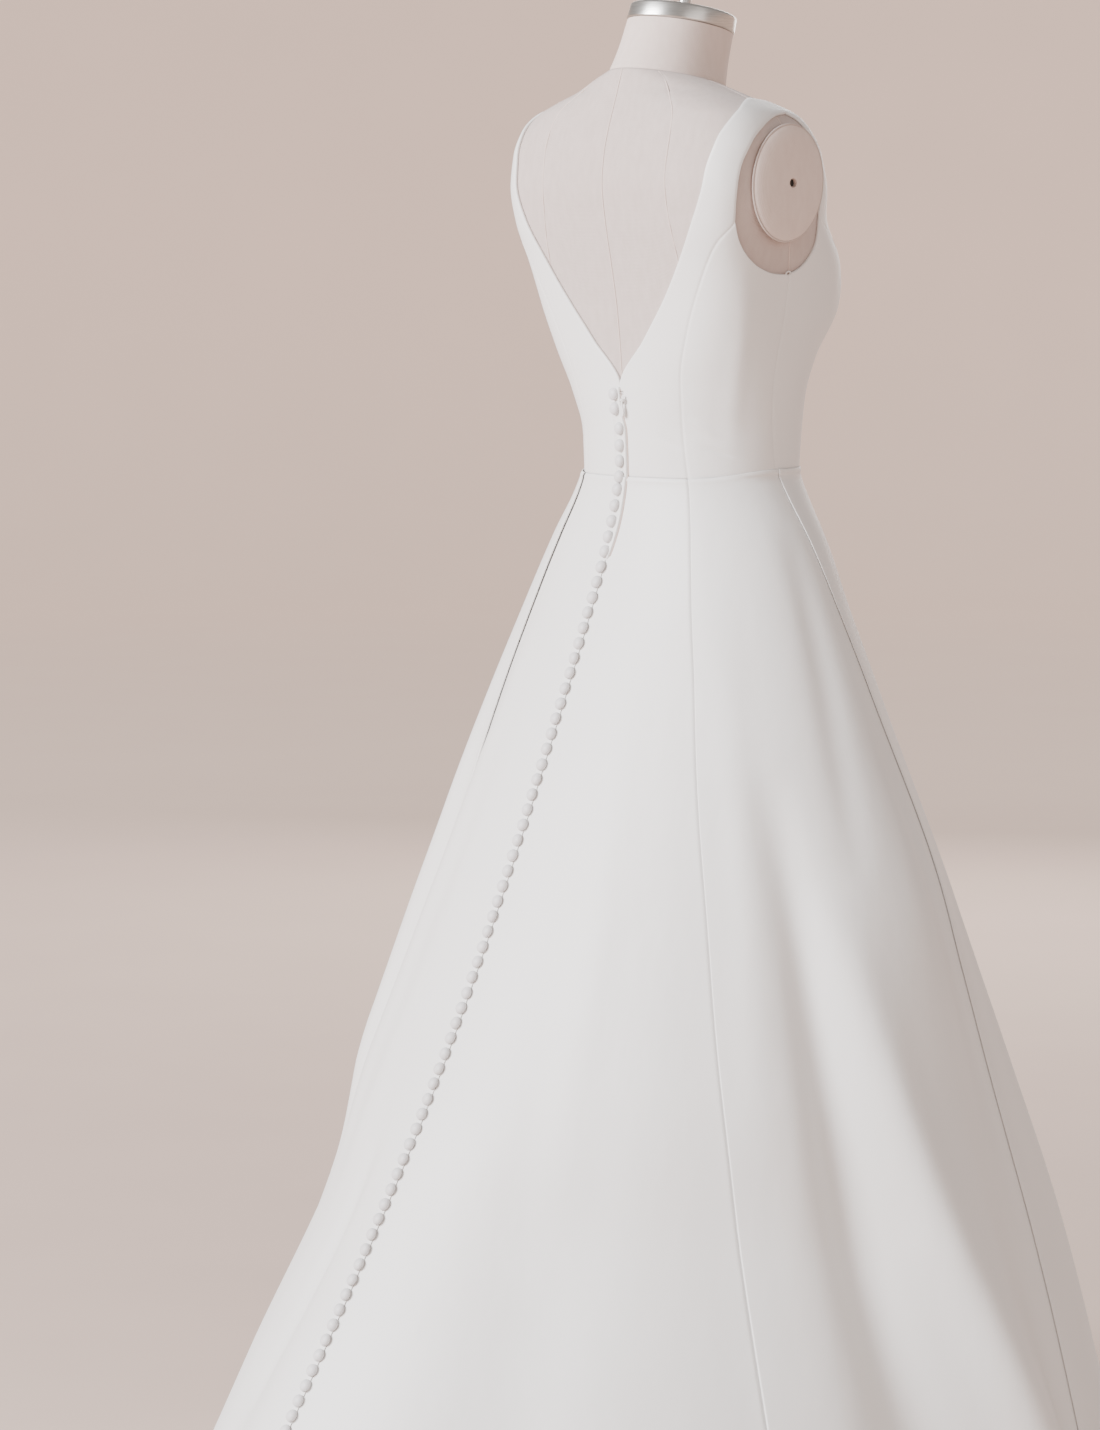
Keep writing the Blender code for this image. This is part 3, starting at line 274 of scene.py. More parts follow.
# Covered buttons down the centre back; distances run from just below the V point
BUTTON_RADIUS = 0.0061
BUTTON_HEIGHT = 0.0052
BUTTON_PITCH = 0.0150
BUTTON_SIDES = 24
BUTTON_PROFILE = ((0.62, -0.02), (0.90, 0.06), (1.00, 0.22), (0.97, 0.42), (0.86, 0.63), (0.68, 0.80),
                  (0.44, 0.92), (0.20, 0.985))
BUTTON_TILT = math.radians(5)
BUTTON_SHIFT = 0.0003
FIRST_BUTTONS = ((0.0062, 0.0062), (0.0203, 0.0062), (0.0384, 0.0), (0.0544, 0.0), (0.0694, 0.0),
                 (0.0843, 0.0), (0.0975, 0.0))
PLACKET_END = 0.1650
TAPE_BUTTONS = 36
TAPE_HALF = 0.0025
TAPE_THICK = 0.0010
TAPE_HEM = 0.012
LAST_BUTTON = 0.008
TURN_START = 0.001
# The lap over the zip: distance, left edge, right edge
LAP = (
    (0.0000, 0.0118, -0.0012),
    (0.0240, 0.0118, -0.0035),
    (0.0415, 0.0110, -0.0080),
    (0.0840, 0.0080, -0.0095),
    (0.1240, 0.0060, -0.0105),
    (0.1600, 0.0050, -0.0072),
    (0.1650, 0.0040, -0.0040),
)
LAP_PROFILE = ((0.00, 0.10), (0.30, 0.62), (0.70, 0.98), (1.20, 1.12), (2.00, 1.10), (3.50, 0.92),
               (6.00, 0.62), (9.00, 0.34))     # how far in from the folded edge (mm), share of the rise
LAP_STEPS = 90
LAP_RISE = 0.0019
LAP_WALL = 0.0009
LAP_SUNK = 0.0001
LAP_TAIL = 0.0035        # over this distance at its end the lap sinks into the seam
LAP_HEAD = 0.0020
SLIT = (0.0020, 0.0040, 0.0012, -0.0008, -0.0004, 0.00025)    # start, end, left, right, bottom, top
HOOK_WIRE = 0.00035
HOOK_PLACE = 0.0045
HOOK_LIFT = 0.0012
HOOK = ((-0.0048, 0.0011), (-0.0012, 0.0013), (0.0010, 0.0010), (0.0014, 0.0), (0.0010, -0.0010),
        (-0.0012, -0.0013), (-0.0048, -0.0011))

# The form
FORM_COLUMNS = 240
FORM_GROOVE = 0.0006
GROOVE_HALF = 0.0011
NECK_GROOVE_HALF = 0.0012
SEAM_RADIUS = 0.10       # the form's half-width, for the width of a seam
SEAM_LOW = 1.10
SEAM_TOP = 1.4095
SEAM_STEPS = 48
SEAM_CORD = 0.0006
SEAM_SUNK = 0.0003
FORM_SEAMS = ("centre", "back_princess", "front_princess", "side", "front_centre")
MIDDLE_SEAMS = ("centre", "front_centre")
SEAM_LINES = {
    "centre": ((0.80, 0.0), (1.41, 0.0)),
    "front_centre": ((0.80, 180.0), (1.41, 180.0)),
    "side": ((0.80, 90.0), (1.04, 90.0), (1.26, 90.0), (1.41, 90.0)),
    "back_princess": ((0.80, 36.0), (1.04, 36.0), (1.20, 34.0), (1.32, 28.0), (1.38, 30.0), (1.41, 40.0)),
    "front_princess": ((0.80, 147.0), (1.04, 147.0), (1.20, 147.0), (1.32, 146.0), (1.38, 142.0),
                       (1.41, 138.0)),
}
HANGER_LOOP = ((85.5, 1.2275), (85.8, 1.2310), (87.4, 1.2335), (89.6, 1.2335), (91.2, 1.2310), (91.5, 1.2275))
LOOP_OUT = 0.0022
LOOP_CORD = 0.0007
NECK_TILT = 0.19
NECK_SIDES = 120
NECK_RINGS = 60
NECK = (
    (0.0310, 1.4108, 0.0552),
    (0.0288, 1.4170, 0.0538),
    (0.0225, 1.4360, 0.0513),
    (0.0150, 1.4600, 0.0498),
)
CAP_HEIGHT = 0.0155
CAP_RADIUS = (0.0506, 0.0490)
CAP_LEAN = 0.0045
PLATE_Y = 0.0285
PLATE_Z = 1.3137
PLATE_HALF_Y = 0.0420
PLATE_HALF_Z = 0.0528
PLATE_TURN = math.radians(7.5)
PLATE_SIDES = 72
PLATE_RINGS = 40
PLATE_DOME = ((0.0, 0.985), (0.0006, 1.0), (0.0030, 1.0), (0.0044, 0.97), (0.0068, 0.84), (0.0090, 0.54),
              (0.0100, 0.16))    # how far out, share of the plate's size
PLATE_PIPING = 0.0011
PIPING_PLACE = (0.0024, 0.0006, 48)    # how far out, past the edge, points
EYELET_RADIUS = 0.0042
EYELET = ((0.0100, 0.0006), (0.0097, 0.0), (0.0055, 0.0))    # how far out, wider than the eyelet by

# Stage and lamps
FLOOR_LIFT = -0.0002
STAGE_RADIUS = 11.0
STAGE_BEND = 1.2
STAGE_HEIGHT = 3.4
STAGE_SIDES = 96
STAGE_STEPS = 8
FLOOR_RINGS = (0.001, 3.0, 6.0)
FLOOR_COLOUR = (0.56, 0.425, 0.36)
FLOOR_GLOW = (0.5, 7.0, 1.02)          # starts this far out, full this far out, its strength
LAMP_COLUMNS = ("name", "place", "target", "size", "power", "colour")
LAMPS = (
    ("key", (1.3, 4.3, 2.9), (0, 0.2, 0.8), (2.6, 2.2), 700.0, (0.96, 0.97, 1.0)),
    ("fill", (-4.2, 0.6, 2.2), (0, 0, 0.7), (3.0, 2.4), 38.0, (1.0, 0.95, 0.92)),
    ("front", (3.0, -3.6, 2.3), (0, 0, 0.8), (3.0, 2.4), 130.0, (1.0, 0.95, 0.92)),
)
WORLD_STRENGTH = 0.50
WORLD_COLOUR = (1.0, 0.95, 0.92)
SHARP = math.radians(50)


def hermite(xs, ys, at):
    """Smooth values of a curve through (xs, ys), never past its neighbours' values."""
    xs, ys = np.asarray(xs, float), np.asarray(ys, float)
    at = np.clip(at, xs[0], xs[-1])
    i = np.clip(np.searchsorted(xs, at, side="right") - 1, 0, len(xs) - 2)
    rise = np.diff(ys) / np.diff(xs)
    slope = np.concatenate((rise[:1], np.zeros(len(xs) - 2), rise[-1:]))
    product = rise[:-1] * rise[1:]
    total = np.where(product > 0, rise[:-1] + rise[1:], 1.0)
    slope[1:-1] = np.where(product > 0, 2 * product / total, 0.0)
    step = xs[i + 1] - xs[i]
    t = (at - xs[i]) / step
    return ((1 + 2 * t) * (1 - t) ** 2 * ys[i] + t * (1 - t) ** 2 * step * slope[i]
            + t * t * (3 - 2 * t) * ys[i + 1] + t * t * (t - 1) * step * slope[i + 1])


def from_table(table, columns, name, at):
    """Smooth value of one named column of a table, against its first column."""
    rows = np.array(table)
    return hermite(rows[:, 0], rows[:, columns.index(name)], at)


def by_row(table, at):
    """Smooth values of all columns of a table at row numbers AT."""
    rows = np.array(table)
    return np.stack([hermite(np.arange(len(rows)), column, at) for column in rows.T], axis=-1)


def spread(count, bunching):
    """Shares from 0 to 1, closer together toward both ends."""
    share = np.linspace(0, 1, count)
    return share - bunching * np.sin(2 * np.pi * share) / (2 * np.pi)


def torso_point(side, angle, z, bust=FORM_BUST):
    """Points of the form's body at angles (degrees) and heights."""
    angle, z = np.broadcast_arrays(np.asarray(angle, float), np.asarray(z, float))
    s, c = np.sin(np.radians(angle)), np.cos(np.radians(angle))

    def value(name):
        return from_table(TORSO, TORSO_COLUMNS, name, z)

    square = np.where(c > 0, value("square_back"), value("square_front"))
    centre = value("centre")
    depth = np.where(c > 0, value("back") - centre, centre + value("front"))
    reach = (np.abs(s) ** square + np.abs(c) ** square) ** (-1 / square)
    x = -value("half") * reach * s
    y = centre + depth * reach * c
    aside = (np.abs(x) - BUST_X) / BUST_WIDE
    up = (z - BUST_Z) / BUST_TALL
    y = y - np.where(c < 0, bust * np.exp(-aside ** 2 - up ** 2) * np.minimum(1.0, -2 * c), 0.0)
    x = np.sign(x) * np.minimum(np.abs(x), ARM_PLANE_X)
    return np.stack((-side * x, y, z + (y - NECK_Y) * value("tilt")), axis=-1)


def unit(vectors):
    return vectors / np.maximum(np.linalg.norm(vectors, axis=-1, keepdims=True), 1e-12)


def outward(point_at, side, angle, z):
    """Unit normals of a surface given by point_at(side, angle, z), away from the body."""
    across = point_at(side, angle + 0.5, z) - point_at(side, angle - 0.5, z)
    up = point_at(side, angle, z + 0.001) - point_at(side, angle, z - 0.001)
    return unit(np.cross(across, up) * -side)


def gown_base(side, angle, z):
    return torso_point(side, angle, z, GOWN_BUST)


def crease_depth(creases, side, angle, z, metres_per_degree):
    """How far the listed creases move the cloth outward."""
    total = np.zeros_like(angle)
    for crease in creases:
        row = dict(zip(CREASE_COLUMNS, crease))
        if row["side"] != side:
            continue
        down = (row["top_z"] - z) / (row["top_z"] - row["foot_z"])
        middle = row["top_angle"] + (row["foot_angle"] - row["top_angle"]) * np.clip(down, 0, 1)
        fade = np.sin(np.pi * np.clip(down, 0, 1)) ** 0.8
        away = (angle - middle) * metres_per_degree / row["width"]
        total = total + row["depth"] * fade * np.exp(-away ** 2)
    return total


def skirt_value(name, z):
    return from_table(SKIRT, SKIRT_COLUMNS, name, z)


def fold_depth(side, angle, z):
    """How far the large folds move the cloth outward, nothing at the centre back and front."""
    total = np.zeros_like(angle)
    for fold in FOLDS:
        row = dict(zip(FOLD_COLUMNS, fold))
        if row["side"] != side:
            continue
        down = np.clip((row["start_z"] - z) / row["start_z"], 0, None)
        grown = np.clip((row["start_z"] - z) / (row["start_z"] - row["full_z"]), 0, 1) ** 1.3
        middle = row["top_angle"] + (row["hem_angle"] - row["top_angle"]) * down
        total = total + row["depth"] * grown * np.exp(-((angle - middle) / row["width"]) ** 2)
    calm = (1 - np.exp(-(angle / 5) ** 2)) * (1 - np.exp(-((180 - angle) / 5) ** 2))
    creases = crease_depth(SKIRT_CREASES, side, angle, z, skirt_value("half", z) * np.pi / 180)
    return (total + creases) * calm


def train_length(angle):
    """Cloth that lies on the floor at this angle; the front hem stops short of it."""
    return (TRAIN + FRONT_HEM) * np.clip(np.cos(np.radians(0.9 * angle)), 0, None) ** 1.5 - FRONT_HEM


def skirt_point(side, angle, level):
    """Points of the skirt. Below the floor, LEVEL counts cloth that lies on the floor instead."""
    angle, level = np.broadcast_arrays(np.asarray(angle, float), np.asarray(level, float))
    z = 0.5 * (level + np.hypot(level, FLOOR_BEND))
    s, c = np.sin(np.radians(angle)), np.cos(np.radians(angle))
    square = np.where(c > 0, skirt_value("square_back", z), skirt_value("square_front", z))
    reach = (np.abs(s) ** square + np.abs(c) ** square) ** (-1 / square)
    x = skirt_value("half", z) * reach * s
    y = np.where(c > 0, skirt_value("back", z), skirt_value("front", z)) * reach * c
    radius = np.hypot(x, y)
    grow = (radius + (z - level) + fold_depth(side, angle, z)) / radius
    return np.stack((side * x * grow, y * grow, z + FLOOR_REST), axis=-1)


def skirt_frame(side, angle, level):
    """Points, outward normals and metres of cloth per degree on the skirt."""
    across = skirt_point(side, angle + 0.25, level) - skirt_point(side, angle - 0.25, level)
    down = skirt_point(side, angle, level - 0.002) - skirt_point(side, angle, level + 0.002)
    normal = unit(np.cross(across, down) * side)
    return skirt_point(side, angle, level), normal, np.linalg.norm(across, axis=-1) / 0.5


def risen(angle, z):
    """Heights of rows near the waist, moved up with the seam."""
    part = np.clip((angle - RISE_START) / (RISE_END - RISE_START), 0, 1)
    near = np.clip(1 - np.abs(z - WAIST_Z) / RISE_FADE, 0, 1)
    return z + WAIST_RISE * part * part * (3 - 2 * part) * near


def skirt_level(rows, angle):
    """Levels of rows numbered from 0 at the waist to 1 at SKIRT_LOW and on to 2 at the hem."""
    upper = risen(angle, SKIRT_TOP + (SKIRT_LOW - SKIRT_TOP) * rows)
    lower = SKIRT_LOW - (SKIRT_LOW + train_length(angle)) * (rows - 1)
    return np.where(rows < 1, upper, lower)


def edge_angle(edge, rows):
    """Angle of a panel's edge on each row."""
    if edge == "plain":
        return np.zeros_like(rows)
    if edge == "middle":
        return np.full_like(rows, 180.0)
    angle = np.full_like(rows, 100.0)
    for _ in range(3):
        angle = from_table(PLEATS, PLEAT_COLUMNS, edge, np.clip(skirt_level(rows, angle), 0, None))
    return angle


def pleat_sizes(edge, z):
    """Radius of a pleat's folded edge, how far it stands out, and how deep the cloth under it lies."""
    waist, hem, floor = PLEAT_FOLD[edge]
    radius = np.interp(z, (0.0, PLEAT_LOW, WAIST_Z), (floor, hem, waist))
    step = 2 * radius + PLEAT_GAP
    sink = (step - PLEAT_RAISE) * np.clip(z / PLEAT_LOW, 0, 1)
    return radius, step - sink, sink


def skirt_rows():
    upper = np.linspace(WAIST_ROWS[-1] + 0.005, 1, ROWS_UPPER)
    return np.concatenate((WAIST_ROWS, upper, np.linspace(1, 2, ROWS_LOWER)[1:]))


def skirt_panel(side, low_edge, high_edge, columns, bunching=0.86):
    """Outer face of a skirt panel as a grid, from its back edge to its front edge, waist first."""
    rows = skirt_rows()
    low, high = edge_angle(low_edge, rows), edge_angle(high_edge, rows)
    low_point, _, low_scale = skirt_frame(side, low, skirt_level(rows, low))
    high_point, _, high_scale = skirt_frame(side, high, skirt_level(rows, high))
    radius, top, _ = pleat_sizes(low_edge, low_point[:, 2])
    high_radius, _, sink = pleat_sizes(high_edge, high_point[:, 2])
    grid = []

    def add(angle, lift):
        point, normal, _ = skirt_frame(side, angle, skirt_level(rows, angle))
        below = risen(angle, SKIRT_TOP) + FLOOR_REST - point[:, 2]
        ridge = WAIST_RIDGE * np.exp(-((below - WAIST_RIDGE_WIDTH) / WAIST_RIDGE_WIDTH) ** 2)
        grid.append(point + (lift + ridge)[:, None] * normal)

    first = low
    if low_edge == "plain":
        first = CENTRE_GAP / 2 / low_scale
    else:
        add(low + (radius + PLEAT_UNDER) / low_scale, top - 2 * radius)
        for turn in range(FOLD_STEPS):
            bend = math.pi * turn / FOLD_STEPS
            add(low + radius * (1 - math.sin(bend)) / low_scale, top - radius * (1 + math.cos(bend)))
        first = low + radius / low_scale
    under = high_edge != "middle"
    crevice = CREVICE[high_edge]
    for share in spread(columns, bunching):
        angle = first + (high - first) * share
        lift = np.zeros_like(rows)
        if low_edge != "plain":
            lift = lift + top * np.exp(-((angle - low) * low_scale / RAISE_WIDTH) ** 2)
        if under:
            beside = (high - angle) * high_scale
            lift = lift - sink * np.exp(-(beside / SINK_WIDTH) ** 2)
            lift = lift - crevice * np.exp(-(beside / CREVICE_WIDTH) ** 2)
        add(angle, lift)
    if under:
        add(high + (high_radius + PLEAT_UNDER) / high_scale, -sink - crevice)
    return np.stack(grid, axis=1)


def grid_normals(grid, flip):
    """Unit normals of a grid of points."""
    across = np.gradient(grid, axis=1)
    down = np.gradient(grid, axis=0)
    return unit(np.cross(across, down)) * flip


def strip_place(edges, rows, columns):
    """Angles and heights over a bodice piece that runs from the waist up into its strap."""
    inner_angle, inner_z, outer_angle, outer_z = by_row(edges, rows * (len(edges) - 1)).T
    share = columns[None, :]
    angle = inner_angle[:, None] * (1 - share) + outer_angle[:, None] * share
    z = inner_z[:, None] * (1 - share) + outer_z[:, None] * share
    return angle, z


def side_place(low_curve, high_curve, armhole, rows, columns):
    """Angles and heights over a side piece: four edges filled in between, the armhole on top."""
    low = by_row(low_curve, rows * (PRINCESS_ROWS - 1))[:, None]
    high = by_row(high_curve, rows * (PRINCESS_ROWS - 1))[:, None]
    top = by_row(armhole, columns * (len(armhole) - 1))[None]
    up, part = rows[:, None, None], columns[None, :, None]
    low_start, low_end = low[:1], low[-1:]
    high_start, high_end = high[:1], high[-1:]
    bottom = low_start + (high_start - low_start) * part
    corner = ((1 - part) * ((1 - up) * low_start + up * low_end)
              + part * ((1 - up) * high_start + up * high_end))
    place = (1 - part) * low + part * high + (1 - up) * bottom + up * top - corner
    return place[..., 0], place[..., 1]


def bodice_faces(side, angle, z, open_middle=False):
    """Outer and inner grids of a bodice piece, with its edges rolled in toward their seams."""
    z = risen(angle, np.maximum(z, WAIST_Z + SEAM))
    base = gown_base(side, angle, z)
    normal = outward(gown_base, side, angle, z)
    along = np.linalg.norm(np.diff(base, axis=1), axis=-1)
    from_first = np.concatenate((np.zeros((len(base), 1)), np.cumsum(along, axis=1)), axis=1)
    from_last = from_first[:, -1:] - from_first
    from_waist = z - z[:1]
    roll = np.exp(-(from_last / GROOVE_WIDTH) ** 2) + WAIST_ROLL * np.exp(-(from_waist / GROOVE_WIDTH) ** 2)
    middle = open_middle & (angle[:, :1] >= MIDDLE_ANGLE)
    roll = roll + np.where(middle, 0.0, np.exp(-(from_first / GROOVE_WIDTH) ** 2))
    metres_per_degree = np.linalg.norm(base[..., :2], axis=-1) * np.pi / 180
    lift = EASE + BODICE_WALL - GROOVE_DEPTH * np.minimum(roll, 1.0)
    lift = lift + crease_depth(BODICE_CREASES, side, angle, z, metres_per_degree)
    outer = base + lift[..., None] * normal
    up = np.linalg.norm(np.diff(base, axis=0), axis=-1)[::-1]
    from_top = np.concatenate((np.zeros((1, base.shape[1])), np.cumsum(up, axis=0)))[::-1]
    nearest = np.minimum(np.minimum(from_first, from_last), from_top)
    tuck = EDGE_TUCK * np.exp(-(nearest / EDGE_TUCK_WIDTH) ** 2)
    inner = base + (EASE - tuck)[..., None] * normal
    return outer, inner


def new_object(name, points, faces, material):
    mesh = bpy.data.meshes.new(name)
    mesh.from_pydata([tuple(point) for point in points], [], faces)
    mesh.update()
    made = bpy.data.objects.new(name, mesh)
    mesh.materials.append(material)
    bpy.context.scene.collection.objects.link(made)
    mesh.shade_smooth()
    return made


def face_outward(made):
    shape = bmesh.new()
    shape.from_mesh(made.data)
    bmesh.ops.recalc_face_normals(shape, faces=shape.faces)
    shape.to_mesh(made.data)
    shape.free()


def grid_faces(rows, columns, start=0, wrap=False):
    faces = []
    for i in range(rows - 1):
        for j in range(columns if wrap else columns - 1):
            k = (j + 1) % columns
            faces.append((start + i * columns + j, start + i * columns + k,
                          start + (i + 1) * columns + k, start + (i + 1) * columns + j))
    return faces


def cloth_shell(name, outer, inner, material, open_middle=False):
    """A closed cloth piece between two grids, with a rounded rim all round."""
    rows, columns = outer.shape[:2]
    count = rows * columns
    border = [(0, j) for j in range(columns)] + [(i, columns - 1) for i in range(1, rows)]
    border += [(rows - 1, j) for j in range(columns - 2, -1, -1)] + [(i, 0) for i in range(rows - 2, 0, -1)]
    rim = []
    for i, j in border:
        inside = outer[min(max(i, 1), rows - 2), min(max(j, 1), columns - 2)]
        out = outer[i, j] - inside
        middle = (outer[i, j] + inner[i, j]) / 2
        if open_middle and abs(outer[i, j][0]) < ON_MIDDLE:
            out[0] = 0.0
        rim.append(middle + out / max(np.linalg.norm(out), 1e-9) * EDGE_ROUND)
    points = np.concatenate((outer.reshape(-1, 3), inner.reshape(-1, 3), np.array(rim)))
    faces = grid_faces(rows, columns) + [face[::-1] for face in grid_faces(rows, columns, count)]
    for n in range(len(border)):
        m = (n + 1) % len(border)
        p, q = border[n][0] * columns + border[n][1], border[m][0] * columns + border[m][1]
        if open_middle and abs(points[p][0]) < ON_MIDDLE and abs(points[q][0]) < ON_MIDDLE:
            continue
        faces.append((q, p, 2 * count + n, 2 * count + m))
        faces.append((2 * count + m, 2 * count + n, count + p, count + q))
    made = new_object(name, points, faces, material)
    face_outward(made)
    return made


def dress(piece, slot, *nodes, body=BODY):
    """Make a piece ride on its body and stand for its solids."""
    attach(piece, body)
    if nodes:
        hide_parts(*nodes)


# Materials

def shader_of(name):
    made = bpy.data.materials.new(name)
    made.use_nodes = True
    return made, made.node_tree.nodes, made.node_tree.links, made.node_tree.nodes["Principled BSDF"]


def add_node(nodes, kind, **values):
    """A shader node with its properties and input sockets set by name."""
    made = nodes.new(kind)
    for key, value in values.items():
        if hasattr(made, key):
            setattr(made, key, value)
        else:
            made.inputs[key.replace("_", " ")].default_value = value
    return made


def object_noise(nodes, links, scale, detail, stretch=(1.0, 1.0, 1.0)):
    """Noise in the object's own space."""
    place = nodes.new("ShaderNodeTexCoord")
    mapping = nodes.new("ShaderNodeMapping")
    mapping.inputs["Scale"].default_value = stretch
    noise = nodes.new("ShaderNodeTexNoise")
    noise.inputs["Scale"].default_value = scale
    noise.inputs["Detail"].default_value = detail
    links.new(place.outputs["Object"], mapping.inputs["Vector"])
    links.new(mapping.outputs["Vector"], noise.inputs["Vector"])
    return noise


def tint_between(nodes, links, factor, dark, light, shader, low=0.35, high=0.65):
    """Colour the shader between two tones."""
    ramp = nodes.new("ShaderNodeValToRGB")
    ramp.color_ramp.elements[0].position = low
    ramp.color_ramp.elements[0].color = (*dark, 1.0)
    ramp.color_ramp.elements[1].position = high
    ramp.color_ramp.elements[1].color = (*light, 1.0)
    links.new(factor, ramp.inputs["Fac"])
    links.new(ramp.outputs["Color"], shader.inputs["Base Color"])


def bump_from(nodes, links, heights, strengths, distances, shader):
    """Stack bumps, the coarsest first."""
    normal = None
    for height, strength, distance in zip(heights, strengths, distances):
        bump = nodes.new("ShaderNodeBump")
        bump.inputs["Strength"].default_value = strength
        bump.inputs["Distance"].default_value = distance
        links.new(height, bump.inputs["Height"])
        if normal:
            links.new(normal, bump.inputs["Normal"])
        normal = bump.outputs["Normal"]
    links.new(normal, shader.inputs["Normal"])


def satin_material(name, light, dark, roughness):
    """Heavy smooth satin: hardly any weave, soft sheen, faint handling marks."""
    made, nodes, links, shader = shader_of(name)
    broad = object_noise(nodes, links, 7.0, 2.0)
    tint_between(nodes, links, broad.outputs["Fac"], dark, light, shader)
    soft = object_noise(nodes, links, 38.0, 2.0, (1.0, 1.0, 0.35))
    threads = object_noise(nodes, links, 1900.0, 1.0, (1.0, 1.0, 0.22))
    bump_from(nodes, links, (soft.outputs["Fac"], threads.outputs["Fac"]), (0.35, 0.25), (0.0016, 0.00012),
              shader)
    shader.inputs["Roughness"].default_value = roughness
    shader.inputs["Specular IOR Level"].default_value = 0.42
    shader.inputs["Sheen Weight"].default_value = 0.25
    shader.inputs["Sheen Roughness"].default_value = 0.35
    return made


def linen_material(name, light, dark):
    """Plain-woven cover of the form."""
    made, nodes, links, shader = shader_of(name)
    place = nodes.new("ShaderNodeTexCoord")
    heights = []
    for direction, scale in (("Z", 520.0), ("Y", 480.0), ("X", 480.0)):
        wave = nodes.new("ShaderNodeTexWave")
        wave.bands_direction = direction
        wave.inputs["Scale"].default_value = scale
        wave.inputs["Distortion"].default_value = 1.2
        wave.inputs["Detail"].default_value = 1.0
        wave.inputs["Detail Scale"].default_value = 0.6
        links.new(place.outputs["Object"], wave.inputs["Vector"])
        heights.append(wave.outputs["Fac"])
    slub = object_noise(nodes, links, 160.0, 4.0, (1.0, 1.0, 0.4))
    tint_between(nodes, links, slub.outputs["Fac"], dark, light, shader, 0.25, 0.75)
    bump_from(nodes, links, (slub.outputs["Fac"], *heights), (0.3, 0.3, 0.2, 0.2),
              (0.0003, 0.0002, 0.0002, 0.0002), shader)
    shader.inputs["Roughness"].default_value = 0.82
    shader.inputs["Sheen Weight"].default_value = 0.15
    return made


def steel_material(name, colour, stretch):
    """Brushed steel, its brushing run by the stretch of its noise."""
    made, nodes, links, shader = shader_of(name)
    lines = object_noise(nodes, links, 60.0, 3.0, stretch)
    tint_between(nodes, links, lines.outputs["Fac"], [0.82 * value for value in colour], colour, shader)
    bump_from(nodes, links, (lines.outputs["Fac"],), (0.12,), (0.0002,), shader)
    shader.inputs["Metallic"].default_value = 1.0
    shader.inputs["Roughness"].default_value = 0.30
    return made


def enamel_material(name, colour):
    made, nodes, links, shader = shader_of(name)
    wear = object_noise(nodes, links, 900.0, 2.0)
    tint_between(nodes, links, wear.outputs["Fac"], [0.93 * value for value in colour], colour, shader)
    bump_from(nodes, links, (wear.outputs["Fac"],), (0.15,), (0.00005,), shader)
    shader.inputs["Roughness"].default_value = 0.30
    shader.inputs["Coat Weight"].default_value = 0.3
    return made


def plain_material(name, colour, roughness):
    made, nodes, links, shader = shader_of(name)
    mottle = object_noise(nodes, links, 3.0, 2.0)
    tint_between(nodes, links, mottle.outputs["Fac"], [0.97 * value for value in colour], colour, shader)
    shader.inputs["Roughness"].default_value = roughness
    return made


# Cloth pieces

def side_word(side):
    return "right" if side < 0 else "left"


def add_bodice(satin):
    rows, columns = spread(*STRIP_ROWS), spread(*BODICE_COLUMNS)
    back_princess = [row[2:] for row in BACK_EDGES[:PRINCESS_ROWS]]
    front_princess = [row[2:] for row in FRONT_EDGES[:PRINCESS_ROWS]]
    side_rows = spread(*SIDE_ROWS)
    places = {
        "bodice_back": strip_place(BACK_EDGES, rows, columns),
        "bodice_back_side": side_place(back_princess, SIDE_SEAM, ARMHOLE_BACK, side_rows, columns),
        "bodice_front_side": side_place(SIDE_SEAM, front_princess, ARMHOLE_FRONT, side_rows, columns),
    }
    for kind, (angle, z) in places.items():
        for side in (-1, 1):
            name = kind + "_" + side_word(side)
            piece = cloth_shell(name + "_cloth", *bodice_faces(side, angle, z), satin)
            dress(piece, "ivory satin", name)
    angle, z = strip_place(FRONT_EDGES, rows, columns)
    halves = []
    for side in (-1, 1):
        outer, inner = bodice_faces(side, angle, z, True)
        for grid in (outer, inner):
            grid[..., 0] = np.where(angle >= MIDDLE_ANGLE, 0.0, grid[..., 0])
        halves.append(cloth_shell("front_half", outer, inner, satin, True))
    piece = join_pieces("bodice_front_cloth", halves, weld=MIDDLE_WELD)
    dress(piece, "ivory satin", "bodice_front")


def join_pieces(name, parts, weld=0.0):
    """Join objects into one, and weld points that meet."""
    shape = bmesh.new()
    for part in parts:
        part.data.transform(part.matrix_world)
        shape.from_mesh(part.data)
    if weld:
        bmesh.ops.remove_doubles(shape, verts=shape.verts, dist=weld)
        bmesh.ops.recalc_face_normals(shape, faces=shape.faces)
    mesh = bpy.data.meshes.new(name)
    shape.to_mesh(mesh)
    shape.free()
    for material in parts[0].data.materials:
        mesh.materials.append(material)
    for part in parts:
        bpy.data.objects.remove(part, do_unlink=True)
    made = bpy.data.objects.new(name, mesh)
    bpy.context.scene.collection.objects.link(made)
    mesh.shade_smooth()
    return made


